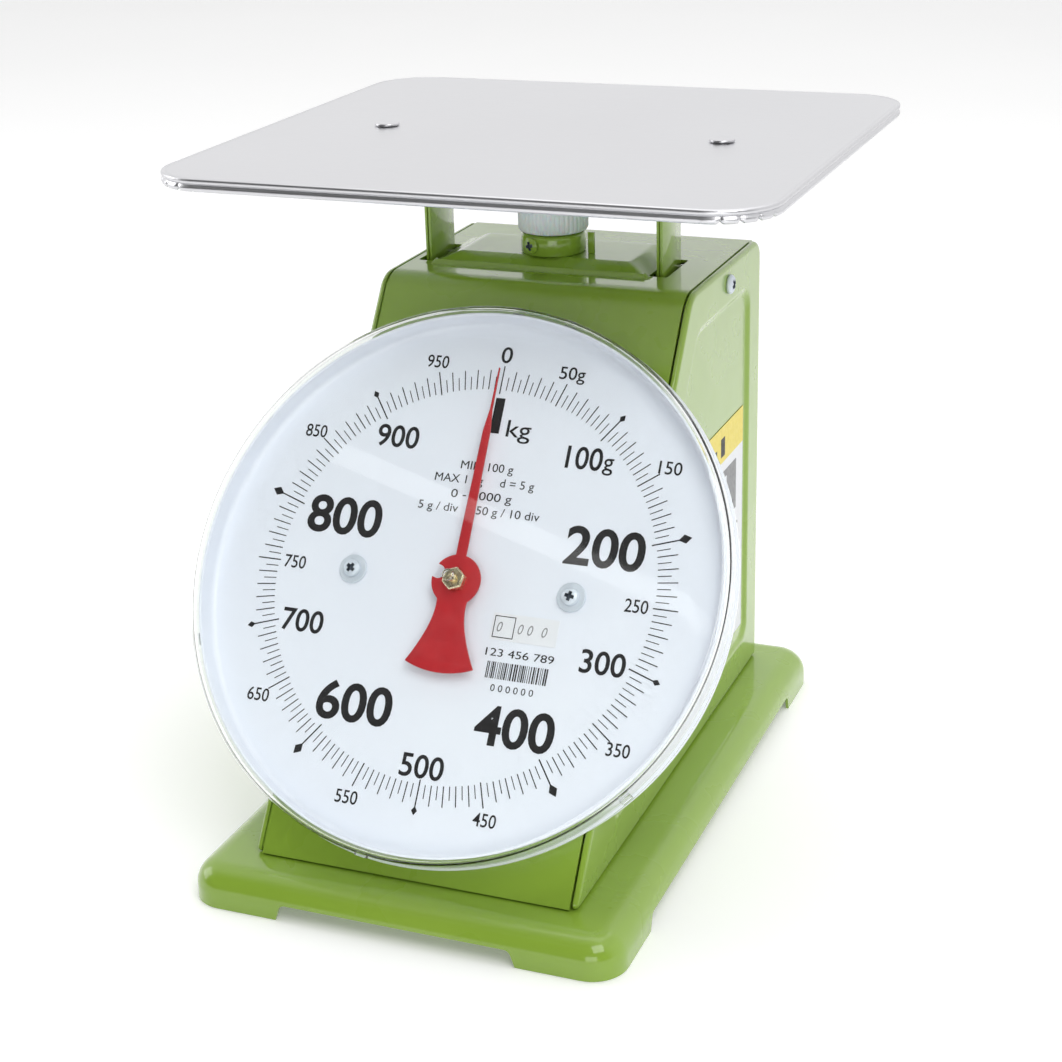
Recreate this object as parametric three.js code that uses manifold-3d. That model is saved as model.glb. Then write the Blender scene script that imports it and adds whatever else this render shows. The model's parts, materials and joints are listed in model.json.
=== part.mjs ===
// Mechanical dial platform scale: a spring balance with a square steel platter, an inclined dial
// and a rack-and-pinion pointer. Millimetres, +Z up, the dial faces -Y, +X is to the right of it.
// Y is laid out from the front edge of the base, and the whole object is centred at the end.
import * as THREE from 'three';
import { mergeVertices } from 'three/addons/utils/BufferGeometryUtils.js';
import Module from 'manifold-3d';

const wasm = await Module();
wasm.setup();

// ---------------------------------------------------------------- driving dimensions
const CLEAR = 0.3; // gap between pieces that touch in the real object
const SHEET = 1.2; // pressed steel of the base and the case
const FACETS = 20; // sides of a small round piece
const ROUND_FACETS = 56; // sides of the dial pan and its cover

const BASE_WIDTH = 153.5;
const BASE_DEPTH = 239;
const BASE_HEIGHT = 13.4;
const BASE_CORNER = 12; // corner radius in plan
const BASE_EDGE = 5; // rounding of the top edge
const FOOT_LENGTH = 33; // corner foot, measured along the edge
const NOTCH_HEIGHT = 6;

const CASE_WIDTH = 116;
const CASE_TOP = 184.3; // height of the case's top face above the table
const CASE_FRONT = 16; // front sheet's lower edge
const CASE_BACK = 222.5;
const CASE_TILT = THREE.MathUtils.degToRad(35.5); // front sheet, from the vertical
const CASE_OFFSET = 5.35; // case and base centre, to the right of the platter's centre
const FRONT_BEND = 13; // bend between the front sheet and the top
const BACK_BEND = 6;
const SIDE_LIP = 2; // how far each side panel's edge wraps inwards
const BACK_FLANGE = 12; // the wrap sheet's short turn-down at the back
const FRONT_FLANGE = 12; // and its turned-in foot at the front
const FIELD_INSET = 15; // pressed field of a side panel, in from the panel's outline
const FIELD_DEPTH = 0.6;
const LABEL_WIDTH = 62;
const LABEL_HEIGHT = 90;

const PLATTER_WIDTH = 214.9;
const PLATTER_DEPTH = 202.4;
const PLATTER_RISE = 45.9; // platter's top face above the case top
const PLATTER_CORNER = 21;
const PLATTER_HEM = 4.4;
const PLATTER_SHEET = 1;
const PLATTER_EDGE = 1.8;
const RIVET_SPAN = 127;

const LOAD_Y = 170.5; // the platter's centre line, and the cradle's
const TRAVEL = 12; // platform travel for one turn of the pointer
const POST_SPAN = 86; // between the inner faces of the two posts
const POST_THICK = 2.4;
const POST_DEPTH = 21;
const POST_FOOT = 58; // lower end of the posts
const SLOT_CLEAR = 2.2; // slot clearance all round a post

const PAD_HEIGHT = 3.4; // raised pad on the case top
const PAD_SLOPE = 9.4;
const PAD_WIDTH = 82;
const PAD_FRONT = 154.5;
const PAD_DEPTH = 44;

const KNOB_RADIUS = 12.7;
const KNOB_HEIGHT = 13.4;
const COLLAR_RADIUS = 11.8;
const COLLAR_HEIGHT = 7.2;
const KNOB_ROD_RADIUS = 2;
const KNOB_Y = 172;

const DIAL_ALONG = 99.3; // dial centre, up along the front sheet from its lower edge
const DIAL_FACE = 9.3; // printed face, in front of the front sheet
const PAN_RADIUS = 92.6;
const PAN_WALL = 1;
const PAN_DEPTH = 17.8; // front edge of the pan's wall, in front of the front sheet
const LENS_GAP = 0.6; // between the pan's wall and the cover's
const LENS_WALL = 1.4;
const LENS_FRONT = 23.4;
const LENS_BACK = 10.5;
const LENS_DOME = 1.5;
const DIAL_SCREW_SPAN = 79;

const POINTER_LIFT = 4; // pointer sheet above the printed face
const POINTER_SHEET = 0.7;
const POINTER_MARGIN = 18.2; // from the pointer's tip to the pan's wall
const POINTER_TAIL = 33;
const HUB_RADIUS = 8.7;

const PINION_TEETH = 8;
const RACK_DEPTH = -15.5; // back face of the rack, behind the front sheet
const RACK_THICK = 3;
const LINK_LENGTH = 36;
const LOWER_LINK_Z = 72;
const UPPER_LINK_DROP = 34.3; // upper link's front pin below the case top
const PIN_RADIUS = 1.5;
const PIN_PLAY = 0.15;
const BRACKET_SHEET = 1.6; // sheet of the inner brackets and the links
const SCREW_HOLE = 1.9;
const RIVET_HOLE = 2.3;
const SPRING_SPAN = 30;
const SPRING_RADIUS = 4;
const SPRING_WIRE = 0.6;
const SPRING_TURNS = 9;

// ---------------------------------------------------------------- worked-out dimensions
const sinTilt = Math.sin(CASE_TILT);
const cosTilt = Math.cos(CASE_TILT);
const CASE_BOTTOM = BASE_HEIGHT + CLEAR;
const caseRise = CASE_TOP - CASE_BOTTOM;
const CASE_SHOULDER = CASE_FRONT + caseRise * Math.tan(CASE_TILT);
const BASE_CENTRE_Y = BASE_DEPTH / 2;
const TOTAL_BACK = Math.max(BASE_DEPTH, LOAD_Y + PLATTER_DEPTH / 2);
const CENTRE_Y = TOTAL_BACK / 2;
const POST_X = POST_SPAN / 2 + POST_THICK / 2;
const PLATTER_TOP = CASE_TOP + PLATTER_RISE;
const LENS_RADIUS = PAN_RADIUS + LENS_GAP + LENS_WALL;
const POINTER_REACH = PAN_RADIUS - POINTER_MARGIN;
const PAD_TOP = CASE_TOP + PAD_HEIGHT;
const rackStroke = TRAVEL * cosTilt;
const crossStroke = TRAVEL * sinTilt;
const pinionPitch = rackStroke / (2 * Math.PI);
const toothModule = (2 * pinionPitch) / PINION_TEETH;
const toothPitch = Math.PI * toothModule;
const SCREW_Y = CASE_BACK - 42;
const SCREW_Z = CASE_TOP - 7;
const LABEL_Y = CASE_BACK - 49;
const LABEL_Z = CASE_BOTTOM + 65.6;
const COLLAR_SCREW_TURN = THREE.MathUtils.degToRad(-18.6);
const HANGER_Z = CASE_TOP - 19;
const SPRING_Y = LOAD_Y - 4;
const SPRING_FOOT = POST_FOOT + 4 + CLEAR;
const BRACKET_TOP = PLATTER_TOP - PLATTER_SHEET - CLEAR;
const BRACKET_BOTTOM = BRACKET_TOP - BRACKET_SHEET;
const BRIDGE_TOP = BRACKET_BOTTOM - CLEAR;
const BRIDGE_BOTTOM = BRIDGE_TOP - 1.8;
const LINK_HALF_TURN = Math.asin(TRAVEL / 2 / LINK_LENGTH);
const LINK_FRONT_Y = LOAD_Y + POST_DEPTH / 2 - 4;
const LINK_REAR_Y = LINK_FRONT_Y + LINK_LENGTH * Math.cos(LINK_HALF_TURN);
const LINK_ARM_X = POST_SPAN / 2 - 5;
const PLATE_FRONT = -SHEET - CLEAR; // bearing bracket's front plate lies behind the front sheet
const PLATE_REAR = RACK_DEPTH - 2.4;
const GUIDE_V = [15.8, -28];
const RACK_ROOT_X = pinionPitch + 1.1 * toothModule;
const RACK_BACK_X = RACK_ROOT_X + 6.6;
const GUIDE_X = RACK_ROOT_X + 3.5;
const GUIDE_RADIUS = 1.4;
const EAR_V = -39;
const DRIVE_DEPTH = RACK_DEPTH - 1.5; // drive pin at rest
const DRIVE_RADIUS = 1.5;
const LINK_PIN_Z = [LOWER_LINK_Z, CASE_TOP - UPPER_LINK_DROP];
const DIAL_ORIGIN = new THREE.Vector3(
  CASE_OFFSET,
  CASE_FRONT + DIAL_ALONG * sinTilt,
  CASE_BOTTOM + DIAL_ALONG * cosTilt,
);
const dialMatrix = new THREE.Matrix4()
  .makeRotationX(Math.PI / 2 - CASE_TILT)
  .setPosition(DIAL_ORIGIN);

// ---------------------------------------------------------------- materials
const paint = (colour, roughness, metalness) =>
  new THREE.MeshStandardMaterial({ color: colour, roughness, metalness });
const greenPaint = paint(0x7fa03f, 0.28, 0.1);
const stainless = paint(0xd6d8dc, 0.3, 1);
const zincSteel = paint(0xb9bcc0, 0.4, 1);
const whitePlastic = paint(0xe8ecf6, 0.5, 0);
const milkyPlastic = paint(0xc3d0cd, 0.4, 0);
const redPaint = paint(0xb9232b, 0.35, 0.1);
const brass = paint(0xc9b27a, 0.35, 1);
const springSteel = paint(0x8d9094, 0.35, 1);
const paper = paint(0xf0efe8, 0.8, 0);
const clearPlastic = new THREE.MeshStandardMaterial({
  color: 0xeaf2ee,
  roughness: 0.08,
  transparent: true,
  opacity: 0.3,
});

// ---------------------------------------------------------------- solids: joining and cutting
function solid(geometry) {
  const bare = geometry.clone();
  bare.deleteAttribute('normal');
  bare.deleteAttribute('uv');
  const merged = mergeVertices(bare, 1e-4);
  const corners = merged.index.array;
  const triangles = [];
  for (let i = 0; i < corners.length; i += 3) {
    const [a, b, c] = [corners[i], corners[i + 1], corners[i + 2]];
    if (a !== b && b !== c && c !== a) triangles.push(a, b, c);
  }
  return new wasm.Manifold(
    new wasm.Mesh({
      numProp: 3,
      vertProperties: new Float32Array(merged.attributes.position.array),
      triVerts: new Uint32Array(triangles),
    }),
  );
}

function surface(body) {
  const mesh = body.getMesh();
  const geometry = new THREE.BufferGeometry();
  geometry.setAttribute('position', new THREE.BufferAttribute(mesh.vertProperties, 3));
  geometry.setIndex(new THREE.BufferAttribute(mesh.triVerts, 1));
  return geometry;
}

const join = (first, ...others) =>
  surface(others.reduce((body, other) => body.add(solid(other)), solid(first)));
const cut = (first, ...others) =>
  surface(others.reduce((body, other) => body.subtract(solid(other)), solid(first)));
const common = (first, second) => surface(solid(first).intersect(solid(second)));

// ---------------------------------------------------------------- outlines and basic solids
function roundedRectangle(width, depth, radius) {
  const x = width / 2 - radius;
  const y = depth / 2 - radius;
  const shape = new THREE.Shape();
  shape.moveTo(x + radius, -y);
  shape.absarc(x, y, radius, 0, Math.PI / 2, false);
  shape.absarc(-x, y, radius, Math.PI / 2, Math.PI, false);
  shape.absarc(-x, -y, radius, Math.PI, 1.5 * Math.PI, false);
  shape.absarc(x, -y, radius, 1.5 * Math.PI, 2 * Math.PI, false);
  return shape;
}

// A convex outline moved inwards by a distance; points run counter-clockwise.
function insetOutline(points, distance) {
  const edges = points.map((from, i) => {
    const to = points[(i + 1) % points.length];
    const along = to.clone().sub(from).normalize();
    const inwards = new THREE.Vector2(-along.y, along.x);
    return { from: from.clone().addScaledVector(inwards, distance), along };
  });
  return edges.map((edge, i) => {
    const before = edges[(i + edges.length - 1) % edges.length];
    const gap = edge.from.clone().sub(before.from);
    const reach = gap.cross(edge.along) / before.along.cross(edge.along);
    return before.from.clone().addScaledVector(before.along, reach);
  });
}

function roundedOutline(points, radii) {
  const shape = new THREE.Shape();
  points.forEach((corner, i) => {
    const before = points[(i + points.length - 1) % points.length];
    const after = points[(i + 1) % points.length];
    const back = before.clone().sub(corner).normalize();
    const ahead = after.clone().sub(corner).normalize();
    const halfAngle = Math.acos(THREE.MathUtils.clamp(back.dot(ahead), -1, 1)) / 2;
    const setback = radii[i] / Math.tan(halfAngle);
    const enter = corner.clone().addScaledVector(back, setback);
    const leave = corner.clone().addScaledVector(ahead, setback);
    if (i === 0) shape.moveTo(enter.x, enter.y);
    else shape.lineTo(enter.x, enter.y);
    if (setback > 0) shape.quadraticCurveTo(corner.x, corner.y, leave.x, leave.y);
  });
  shape.closePath();
  return shape;
}

function extrude(shape, from, to, curveSegments = 6) {
  const geometry = new THREE.ExtrudeGeometry(shape, {
    depth: to - from,
    bevelEnabled: false,
    curveSegments,
  });
  return geometry.translate(0, 0, from);
}

// Outline in the Y-Z plane, extruded from one X to another.
const extrudeX = (shape, from, to, curveSegments) =>
  extrude(shape, from, to, curveSegments).applyMatrix4(
    new THREE.Matrix4().makeBasis(
      new THREE.Vector3(0, 1, 0),
      new THREE.Vector3(0, 0, 1),
      new THREE.Vector3(1, 0, 0),
    ),
  );

// Outline in the X-Z plane, extruded from one Y to another.
const extrudeY = (shape, from, to, curveSegments) =>
  extrude(shape, -to, -from, curveSegments).applyMatrix4(
    new THREE.Matrix4().makeBasis(
      new THREE.Vector3(1, 0, 0),
      new THREE.Vector3(0, 0, 1),
      new THREE.Vector3(0, -1, 0),
    ),
  );

function block(low, high) {
  const size = high.map((value, i) => value - low[i]);
  const centre = high.map((value, i) => (value + low[i]) / 2);
  return new THREE.BoxGeometry(...size).translate(...centre);
}

// A round bar along Z from one height to another.
const bar = (radius, from, to, sides = FACETS) =>
  new THREE.CylinderGeometry(radius, radius, to - from, sides)
    .rotateX(Math.PI / 2)
    .translate(0, 0, (from + to) / 2);
const barX = (radius, from, to, sides = FACETS) => bar(radius, from, to, sides).rotateY(Math.PI / 2);

// A turned solid about Z from [radius, height] points.
const turned = (profile, sides) =>
  new THREE.LatheGeometry(
    profile.map(([radius, height]) => new THREE.Vector2(radius, height)),
    sides,
  ).rotateX(Math.PI / 2);

// A slab whose top edge is rounded: rounded corners in plan, flat below.
function softSlab(width, depth, corner, height, edge) {
  const slab = new THREE.ExtrudeGeometry(roundedRectangle(width, depth, corner), {
    depth: height - edge,
    bevelThickness: edge,
    bevelSize: edge,
    bevelOffset: -edge,
    bevelSegments: 3,
    curveSegments: 5,
  });
  return common(slab, block([-width, -depth, 0], [width, depth, height + edge]));
}

// ---------------------------------------------------------------- base
function trayScrewPlaces() {
  const front = CASE_WIDTH / 2 - 24;
  const rear = LINK_ARM_X - 8;
  return [
    [CASE_OFFSET - front, CASE_FRONT + 20],
    [CASE_OFFSET + front, CASE_FRONT + 20],
    [-rear, CASE_BACK - 16],
    [rear, CASE_BACK - 16],
  ];
}

function baseTray() {
  const outer = softSlab(BASE_WIDTH, BASE_DEPTH, BASE_CORNER, BASE_HEIGHT, BASE_EDGE);
  const inner = softSlab(
    BASE_WIDTH - 2 * SHEET,
    BASE_DEPTH - 2 * SHEET,
    BASE_CORNER - SHEET,
    BASE_HEIGHT - SHEET,
    BASE_EDGE - SHEET,
  );
  const notch = (length) => {
    const half = length / 2 - FOOT_LENGTH;
    const slope = NOTCH_HEIGHT * 0.6;
    const points = [
      new THREE.Vector2(-half, -1),
      new THREE.Vector2(half, -1),
      new THREE.Vector2(half - slope, NOTCH_HEIGHT),
      new THREE.Vector2(slope - half, NOTCH_HEIGHT),
    ];
    return roundedOutline(points, [0, 0, 2, 2]);
  };
  const shell = cut(
    outer,
    inner,
    extrudeY(notch(BASE_WIDTH), -BASE_DEPTH, BASE_DEPTH),
    extrudeX(notch(BASE_DEPTH), -BASE_WIDTH, BASE_WIDTH),
  ).translate(CASE_OFFSET, BASE_CENTRE_Y, 0);
  const holes = trayScrewPlaces().map(([x, y]) =>
    bar(SCREW_HOLE, BASE_HEIGHT - 3 * SHEET, BASE_HEIGHT + SHEET, 12).translate(x, y, 0),
  );
  return cut(shell, ...holes);
}

function trayScrew() {
  const head = BASE_HEIGHT - SHEET - CLEAR;
  const profile = [
    [0, head - 2.2], [3, head - 2.2], [3.2, head], [1.5, head], [1.5, head + 8], [0, head + 8],
  ];
  return turned(profile, 16);
}

// ---------------------------------------------------------------- case
const caseCorners = (inset = 0) =>
  insetOutline(
    [
      new THREE.Vector2(CASE_FRONT, CASE_BOTTOM),
      new THREE.Vector2(CASE_BACK, CASE_BOTTOM),
      new THREE.Vector2(CASE_BACK, CASE_TOP),
      new THREE.Vector2(CASE_SHOULDER, CASE_TOP),
    ],
    inset,
  );
const caseOutline = (inset) =>
  roundedOutline(caseCorners(inset), [0, 0, BACK_BEND - inset / 2, FRONT_BEND - inset / 2]);

// Low frustum of the raised pad, with clipped rear corners; sunk moves its skin down.
function padFrustum(sunk) {
  const half = PAD_WIDTH / 2 - sunk;
  const clip = 12;
  const shape = new THREE.Shape();
  shape.moveTo(-half, 0);
  shape.lineTo(half, 0);
  shape.lineTo(half - 3, PAD_DEPTH - clip);
  shape.lineTo(half - clip, PAD_DEPTH - sunk);
  shape.lineTo(clip - half, PAD_DEPTH - sunk);
  shape.lineTo(3 - half, PAD_DEPTH - clip);
  const rise = PAD_HEIGHT + 3;
  const bevel = (PAD_SLOPE * rise) / PAD_HEIGHT;
  const frustum = new THREE.ExtrudeGeometry(shape, {
    depth: 0.2,
    bevelThickness: rise,
    bevelSize: bevel,
    bevelOffset: -PAD_SLOPE,
    bevelSegments: 1,
  });
  return frustum.translate(0, PAD_FRONT + sunk, PAD_TOP - rise - 0.2 - sunk);
}

function wrapSheet() {
  const half = CASE_WIDTH / 2 - SIDE_LIP - CLEAR;
  const outer = extrudeX(caseOutline(0), -half, half, 8);
  const inner = extrudeX(caseOutline(SHEET), -CASE_WIDTH, CASE_WIDTH, 8);
  const below = block(
    [-CASE_WIDTH, CASE_FRONT - 5, CASE_BOTTOM - 5],
    [CASE_WIDTH, CASE_BACK + 5, CASE_BOTTOM + SHEET + 0.5],
  );
  const foot = block(
    [-CASE_WIDTH, CASE_FRONT - 5, CASE_BOTTOM],
    [CASE_WIDTH, CASE_FRONT + FRONT_FLANGE, CASE_BOTTOM + SHEET + 0.5],
  );
  const behind = block(
    [-CASE_WIDTH, CASE_BACK - 2 * BACK_BEND, CASE_BOTTOM - 5],
    [CASE_WIDTH, CASE_BACK + 5, CASE_TOP - BACK_FLANGE],
  );
  const floor = cut(below, foot);
  const shell = cut(outer, inner, floor, behind).translate(CASE_OFFSET, 0, 0);
  const slots = [-1, 1].map((side) =>
    block(
      [side * POST_X - POST_THICK / 2 - SLOT_CLEAR, LOAD_Y - POST_DEPTH / 2 - SLOT_CLEAR, CASE_TOP - 20],
      [side * POST_X + POST_THICK / 2 + SLOT_CLEAR, LOAD_Y + POST_DEPTH / 2 + SLOT_CLEAR, CASE_TOP + 20],
    ),
  );
  const rodHole = bar(KNOB_ROD_RADIUS + 1, CASE_TOP - 20, PAD_TOP + 20).translate(0, KNOB_Y, 0);
  const dialHoles = [
    bar(4, -10, 10),
    ...[-1, 1].map((side) => bar(SCREW_HOLE, -10, 10, 12).translate((side * DIAL_SCREW_SPAN) / 2, 0, 0)),
  ].map((hole) => hole.applyMatrix4(dialMatrix));
  const ceiling = block(
    [-CASE_WIDTH, 0, CASE_TOP - SHEET - 0.01],
    [CASE_WIDTH, CASE_BACK, CASE_TOP + 20],
  );
  const padOuter = common(padFrustum(0), ceiling);
  return cut(join(shell, padOuter), padFrustum(SHEET), ...slots, rodHole, ...dialHoles);
}

// One pressed side: a plate with a shallow pressed field and a rounded edge that wraps inwards.
const panelField = () => {
  const corners = insetOutline(caseCorners(), FIELD_INSET);
  return roundedOutline(corners, [6, 6, 6, 6]);
};

function sidePanel(side) {
  const face = CASE_WIDTH / 2;
  const plate = new THREE.ExtrudeGeometry(caseOutline(0), {
    depth: SIDE_LIP,
    bevelThickness: 1,
    bevelSize: 1,
    bevelOffset: -1,
    bevelSegments: 2,
    curveSegments: 6,
  }).applyMatrix4(
    new THREE.Matrix4().makeBasis(
      new THREE.Vector3(0, 1, 0),
      new THREE.Vector3(0, 0, 1),
      new THREE.Vector3(1, 0, 0),
    ),
  );
  plate.translate(face - 1 - SIDE_LIP, 0, 0);
  const lipStart = face - SIDE_LIP;
  const trimmed = cut(plate, block([0, 0, 0], [lipStart, 400, 400]));
  const pocket = extrudeX(caseOutline(SHEET), 0, face - SHEET);
  const field = extrudeX(panelField(), face - FIELD_DEPTH, face + 5);
  const screwHole = barX(SCREW_HOLE, face - 10, face + 10, 12).translate(0, SCREW_Y, SCREW_Z);
  const open = cut(trimmed, pocket, field, screwHole);
  const panel = side > 0 ? open : mirrored(open);
  return panel.translate(CASE_OFFSET, 0, 0);
}

// Mirror image about the Y-Z plane, with its faces turned outwards again.
function mirrored(geometry) {
  const flipped = geometry.clone().applyMatrix4(new THREE.Matrix4().makeScale(-1, 1, 1));
  const order = flipped.index.array;
  for (let i = 0; i < order.length; i += 3) [order[i], order[i + 1]] = [order[i + 1], order[i]];
  return flipped;
}

const screwProfile = (start) => [
  [0, start], [3.4, start], [3.4, start + 0.8], [2.4, start + 2], [0, start + 2.3],
];

function sideScrew(side) {
  const start = CASE_WIDTH / 2 + CLEAR;
  const head = turned(screwProfile(start), 20);
  const shank = bar(1.5, start - 6, start + 0.1, 12);
  const screw = join(head, shank).rotateY((side * Math.PI) / 2);
  return screw.translate(CASE_OFFSET, SCREW_Y, SCREW_Z);
}

function backCover() {
  const half = CASE_WIDTH / 2 - SIDE_LIP - CLEAR;
  const outline = roundedRectangle(2 * half, CASE_TOP - BACK_FLANGE - CASE_BOTTOM - 2 * CLEAR, 2);
  const centre = (CASE_TOP - BACK_FLANGE + CASE_BOTTOM) / 2;
  return extrudeY(outline, CASE_BACK - SHEET, CASE_BACK).translate(CASE_OFFSET, 0, centre);
}

function sideLabel() {
  const face = CASE_WIDTH / 2 - FIELD_DEPTH + CLEAR;
  const outline = roundedRectangle(LABEL_WIDTH, LABEL_HEIGHT, 1);
  return extrudeX(outline, face, face + 0.25, 2).translate(CASE_OFFSET, LABEL_Y, LABEL_Z);
}

// ---------------------------------------------------------------- zero adjustment
function zeroKnob() {
  const ribs = 30;
  const shape = new THREE.Shape();
  for (let i = 0; i < 2 * ribs; i += 1) {
    const angle = (i * Math.PI) / ribs;
    const radius = KNOB_RADIUS - (i % 2) * 0.5;
    const point = [radius * Math.cos(angle), radius * Math.sin(angle)];
    if (i === 0) shape.moveTo(...point);
    else shape.lineTo(...point);
  }
  const bottom = PAD_TOP + COLLAR_HEIGHT + 2 * CLEAR;
  const knob = extrude(shape, bottom, bottom + KNOB_HEIGHT);
  const bore = bar(KNOB_ROD_RADIUS + CLEAR, bottom - 1, bottom + KNOB_HEIGHT - 3);
  return cut(knob, bore).translate(0, KNOB_Y, 0);
}

const zeroRod = () =>
  bar(KNOB_ROD_RADIUS, HANGER_Z - 8, PAD_TOP + COLLAR_HEIGHT + KNOB_HEIGHT - 4, 16).translate(0, KNOB_Y, 0);

function knobCollar() {
  const bottom = PAD_TOP + CLEAR;
  const ring = cut(
    bar(COLLAR_RADIUS, bottom, bottom + COLLAR_HEIGHT, 40),
    bar(KNOB_ROD_RADIUS + 1.5, bottom - 1, bottom + COLLAR_HEIGHT + 1),
  );
  const hole = barX(1.4, COLLAR_RADIUS - 4.2, COLLAR_RADIUS + 2, 12);
  hole.translate(0, 0, bottom + COLLAR_HEIGHT / 2);
  return cut(ring, hole.rotateZ(COLLAR_SCREW_TURN - Math.PI / 2)).translate(0, KNOB_Y, 0);
}

function collarScrew() {
  const start = COLLAR_RADIUS + CLEAR;
  const head = turned(screwProfile(start), 20).scale(0.85, 0.85, 1);
  const screw = join(head, bar(1.1, start - 4, start + 0.1, 12)).rotateY(Math.PI / 2);
  screw.translate(0, 0, PAD_TOP + CLEAR + COLLAR_HEIGHT / 2);
  return screw.rotateZ(COLLAR_SCREW_TURN - Math.PI / 2).translate(0, KNOB_Y, 0);
}

const turnStop = () =>
  block(
    [COLLAR_RADIUS + 2, KNOB_Y - 2, PAD_TOP + CLEAR],
    [COLLAR_RADIUS + 4.5, KNOB_Y - 0.8, PAD_TOP + CLEAR + 7.5],
  );

function hangerYoke() {
  const plate = block(
    [-SPRING_SPAN / 2 - 5, SPRING_Y - 6, HANGER_Z],
    [SPRING_SPAN / 2 + 5, SPRING_Y + 9, HANGER_Z + 2],
  );
  const boss = bar(4.5, HANGER_Z, HANGER_Z + 6).translate(0, KNOB_Y, 0);
  const hole = bar(KNOB_ROD_RADIUS + CLEAR, HANGER_Z - 5, HANGER_Z + 12).translate(0, KNOB_Y, 0);
  return cut(join(plate, boss), hole);
}

// ---------------------------------------------------------------- springs

class Helix extends THREE.Curve {
  constructor(radius, turns, height) {
    super();
    Object.assign(this, { radius, turns, height });
  }

  getPoint(t, target = new THREE.Vector3()) {
    const angle = 2 * Math.PI * this.turns * t;
    return target.set(this.radius * Math.cos(angle), this.radius * Math.sin(angle), this.height * t);
  }
}

function spring(side) {
  const section = new THREE.Shape();
  section.absarc(0, 0, SPRING_WIRE, 0, 2 * Math.PI, false);
  const low = SPRING_FOOT + SPRING_WIRE + 0.2;
  const high = HANGER_Z - SPRING_WIRE - 0.5;
  const coil = new THREE.ExtrudeGeometry(section, {
    steps: SPRING_TURNS * 10,
    extrudePath: new Helix(SPRING_RADIUS, SPRING_TURNS, high - low),
    curveSegments: 2,
  });
  return coil.translate((side * SPRING_SPAN) / 2, SPRING_Y, low);
}

// ---------------------------------------------------------------- platter and cradle
function platter() {
  const outer = softSlab(PLATTER_WIDTH, PLATTER_DEPTH, PLATTER_CORNER, PLATTER_HEM, PLATTER_EDGE);
  const inner = softSlab(
    PLATTER_WIDTH - 2 * PLATTER_SHEET,
    PLATTER_DEPTH - 2 * PLATTER_SHEET,
    PLATTER_CORNER - PLATTER_SHEET,
    PLATTER_HEM - PLATTER_SHEET,
    PLATTER_EDGE - PLATTER_SHEET,
  );
  const holes = [-1, 1].map((side) => bar(RIVET_HOLE, -1, 9, 16).translate((side * RIVET_SPAN) / 2, 0, 0));
  return cut(outer, inner, ...holes).translate(0, LOAD_Y, PLATTER_TOP - PLATTER_HEM);
}

function platterBracket() {
  const plate = extrude(roundedRectangle(RIVET_SPAN + 18, 30, 5), BRACKET_BOTTOM, BRACKET_TOP);
  const holes = [-1, 1].map((side) =>
    bar(RIVET_HOLE, BRACKET_BOTTOM - 1, BRACKET_TOP + 1, 16).translate((side * RIVET_SPAN) / 2, 0, 0),
  );
  return cut(plate, ...holes).translate(0, LOAD_Y, 0);
}

function platterRivet(side) {
  const top = PLATTER_TOP + CLEAR;
  const below = BRACKET_BOTTOM - CLEAR;
  const profile = [
    [0, below - 0.9], [3.4, below - 0.9], [3.4, below], [2, below],
    [2, top], [4.5, top], [4.1, top + 0.6], [0, top + 0.9],
  ];
  return turned(profile, 20).translate((side * RIVET_SPAN) / 2, LOAD_Y, 0);
}

const cradleBridge = () =>
  extrude(roundedRectangle(POST_SPAN + 2 * POST_THICK + 4, POST_DEPTH, 2), BRIDGE_BOTTOM, BRIDGE_TOP)
    .translate(0, LOAD_Y, 0);

const post = (side) =>
  block(
    [side * POST_X - POST_THICK / 2, LOAD_Y - POST_DEPTH / 2, POST_FOOT],
    [side * POST_X + POST_THICK / 2, LOAD_Y + POST_DEPTH / 2, BRIDGE_BOTTOM - CLEAR],
  );

const cradleBar = () =>
  block(
    [-POST_SPAN / 2 + CLEAR, LOAD_Y - POST_DEPTH / 2, POST_FOOT + 2],
    [POST_SPAN / 2 - CLEAR, LOAD_Y + POST_DEPTH / 2, POST_FOOT + 4],
  );

// ---------------------------------------------------------------- parallel links
const linkPin = (y, z) => barX(PIN_RADIUS, -POST_SPAN / 2 + 0.4, POST_SPAN / 2 - 0.4, 16).translate(0, y, z);

// Built flat with its rear pivot on the X axis, then tipped up to its rest angle.
function guideLink(frontPinZ) {
  const arm = (side) => {
    const outline = new THREE.Shape();
    outline.absarc(0, 0, 4, -Math.PI / 2, Math.PI / 2, false);
    outline.absarc(-LINK_LENGTH, 0, 4, Math.PI / 2, 1.5 * Math.PI, false);
    outline.closePath();
    const near = side * LINK_ARM_X;
    return extrudeX(outline, near - BRACKET_SHEET / 2, near + BRACKET_SHEET / 2, 4);
  };
  const web = block([-LINK_ARM_X, -16, -BRACKET_SHEET / 2], [LINK_ARM_X, -9, BRACKET_SHEET / 2]);
  const pivot = barX(PIN_RADIUS + PIN_PLAY, -LINK_ARM_X - 5, LINK_ARM_X + 5, 16);
  const slotShape = roundedRectangle(2 * PIN_RADIUS + 2, 2 * PIN_RADIUS + 0.9, PIN_RADIUS + 0.4);
  const slot = extrudeX(slotShape, -LINK_ARM_X - 5, LINK_ARM_X + 5, 4).translate(0, -LINK_LENGTH, 0);
  const link = cut(join(arm(-1), arm(1), web), pivot, slot);
  link.rotateX(-LINK_HALF_TURN);
  return link.translate(0, LINK_REAR_Y, frontPinZ - TRAVEL / 2);
}

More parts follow.
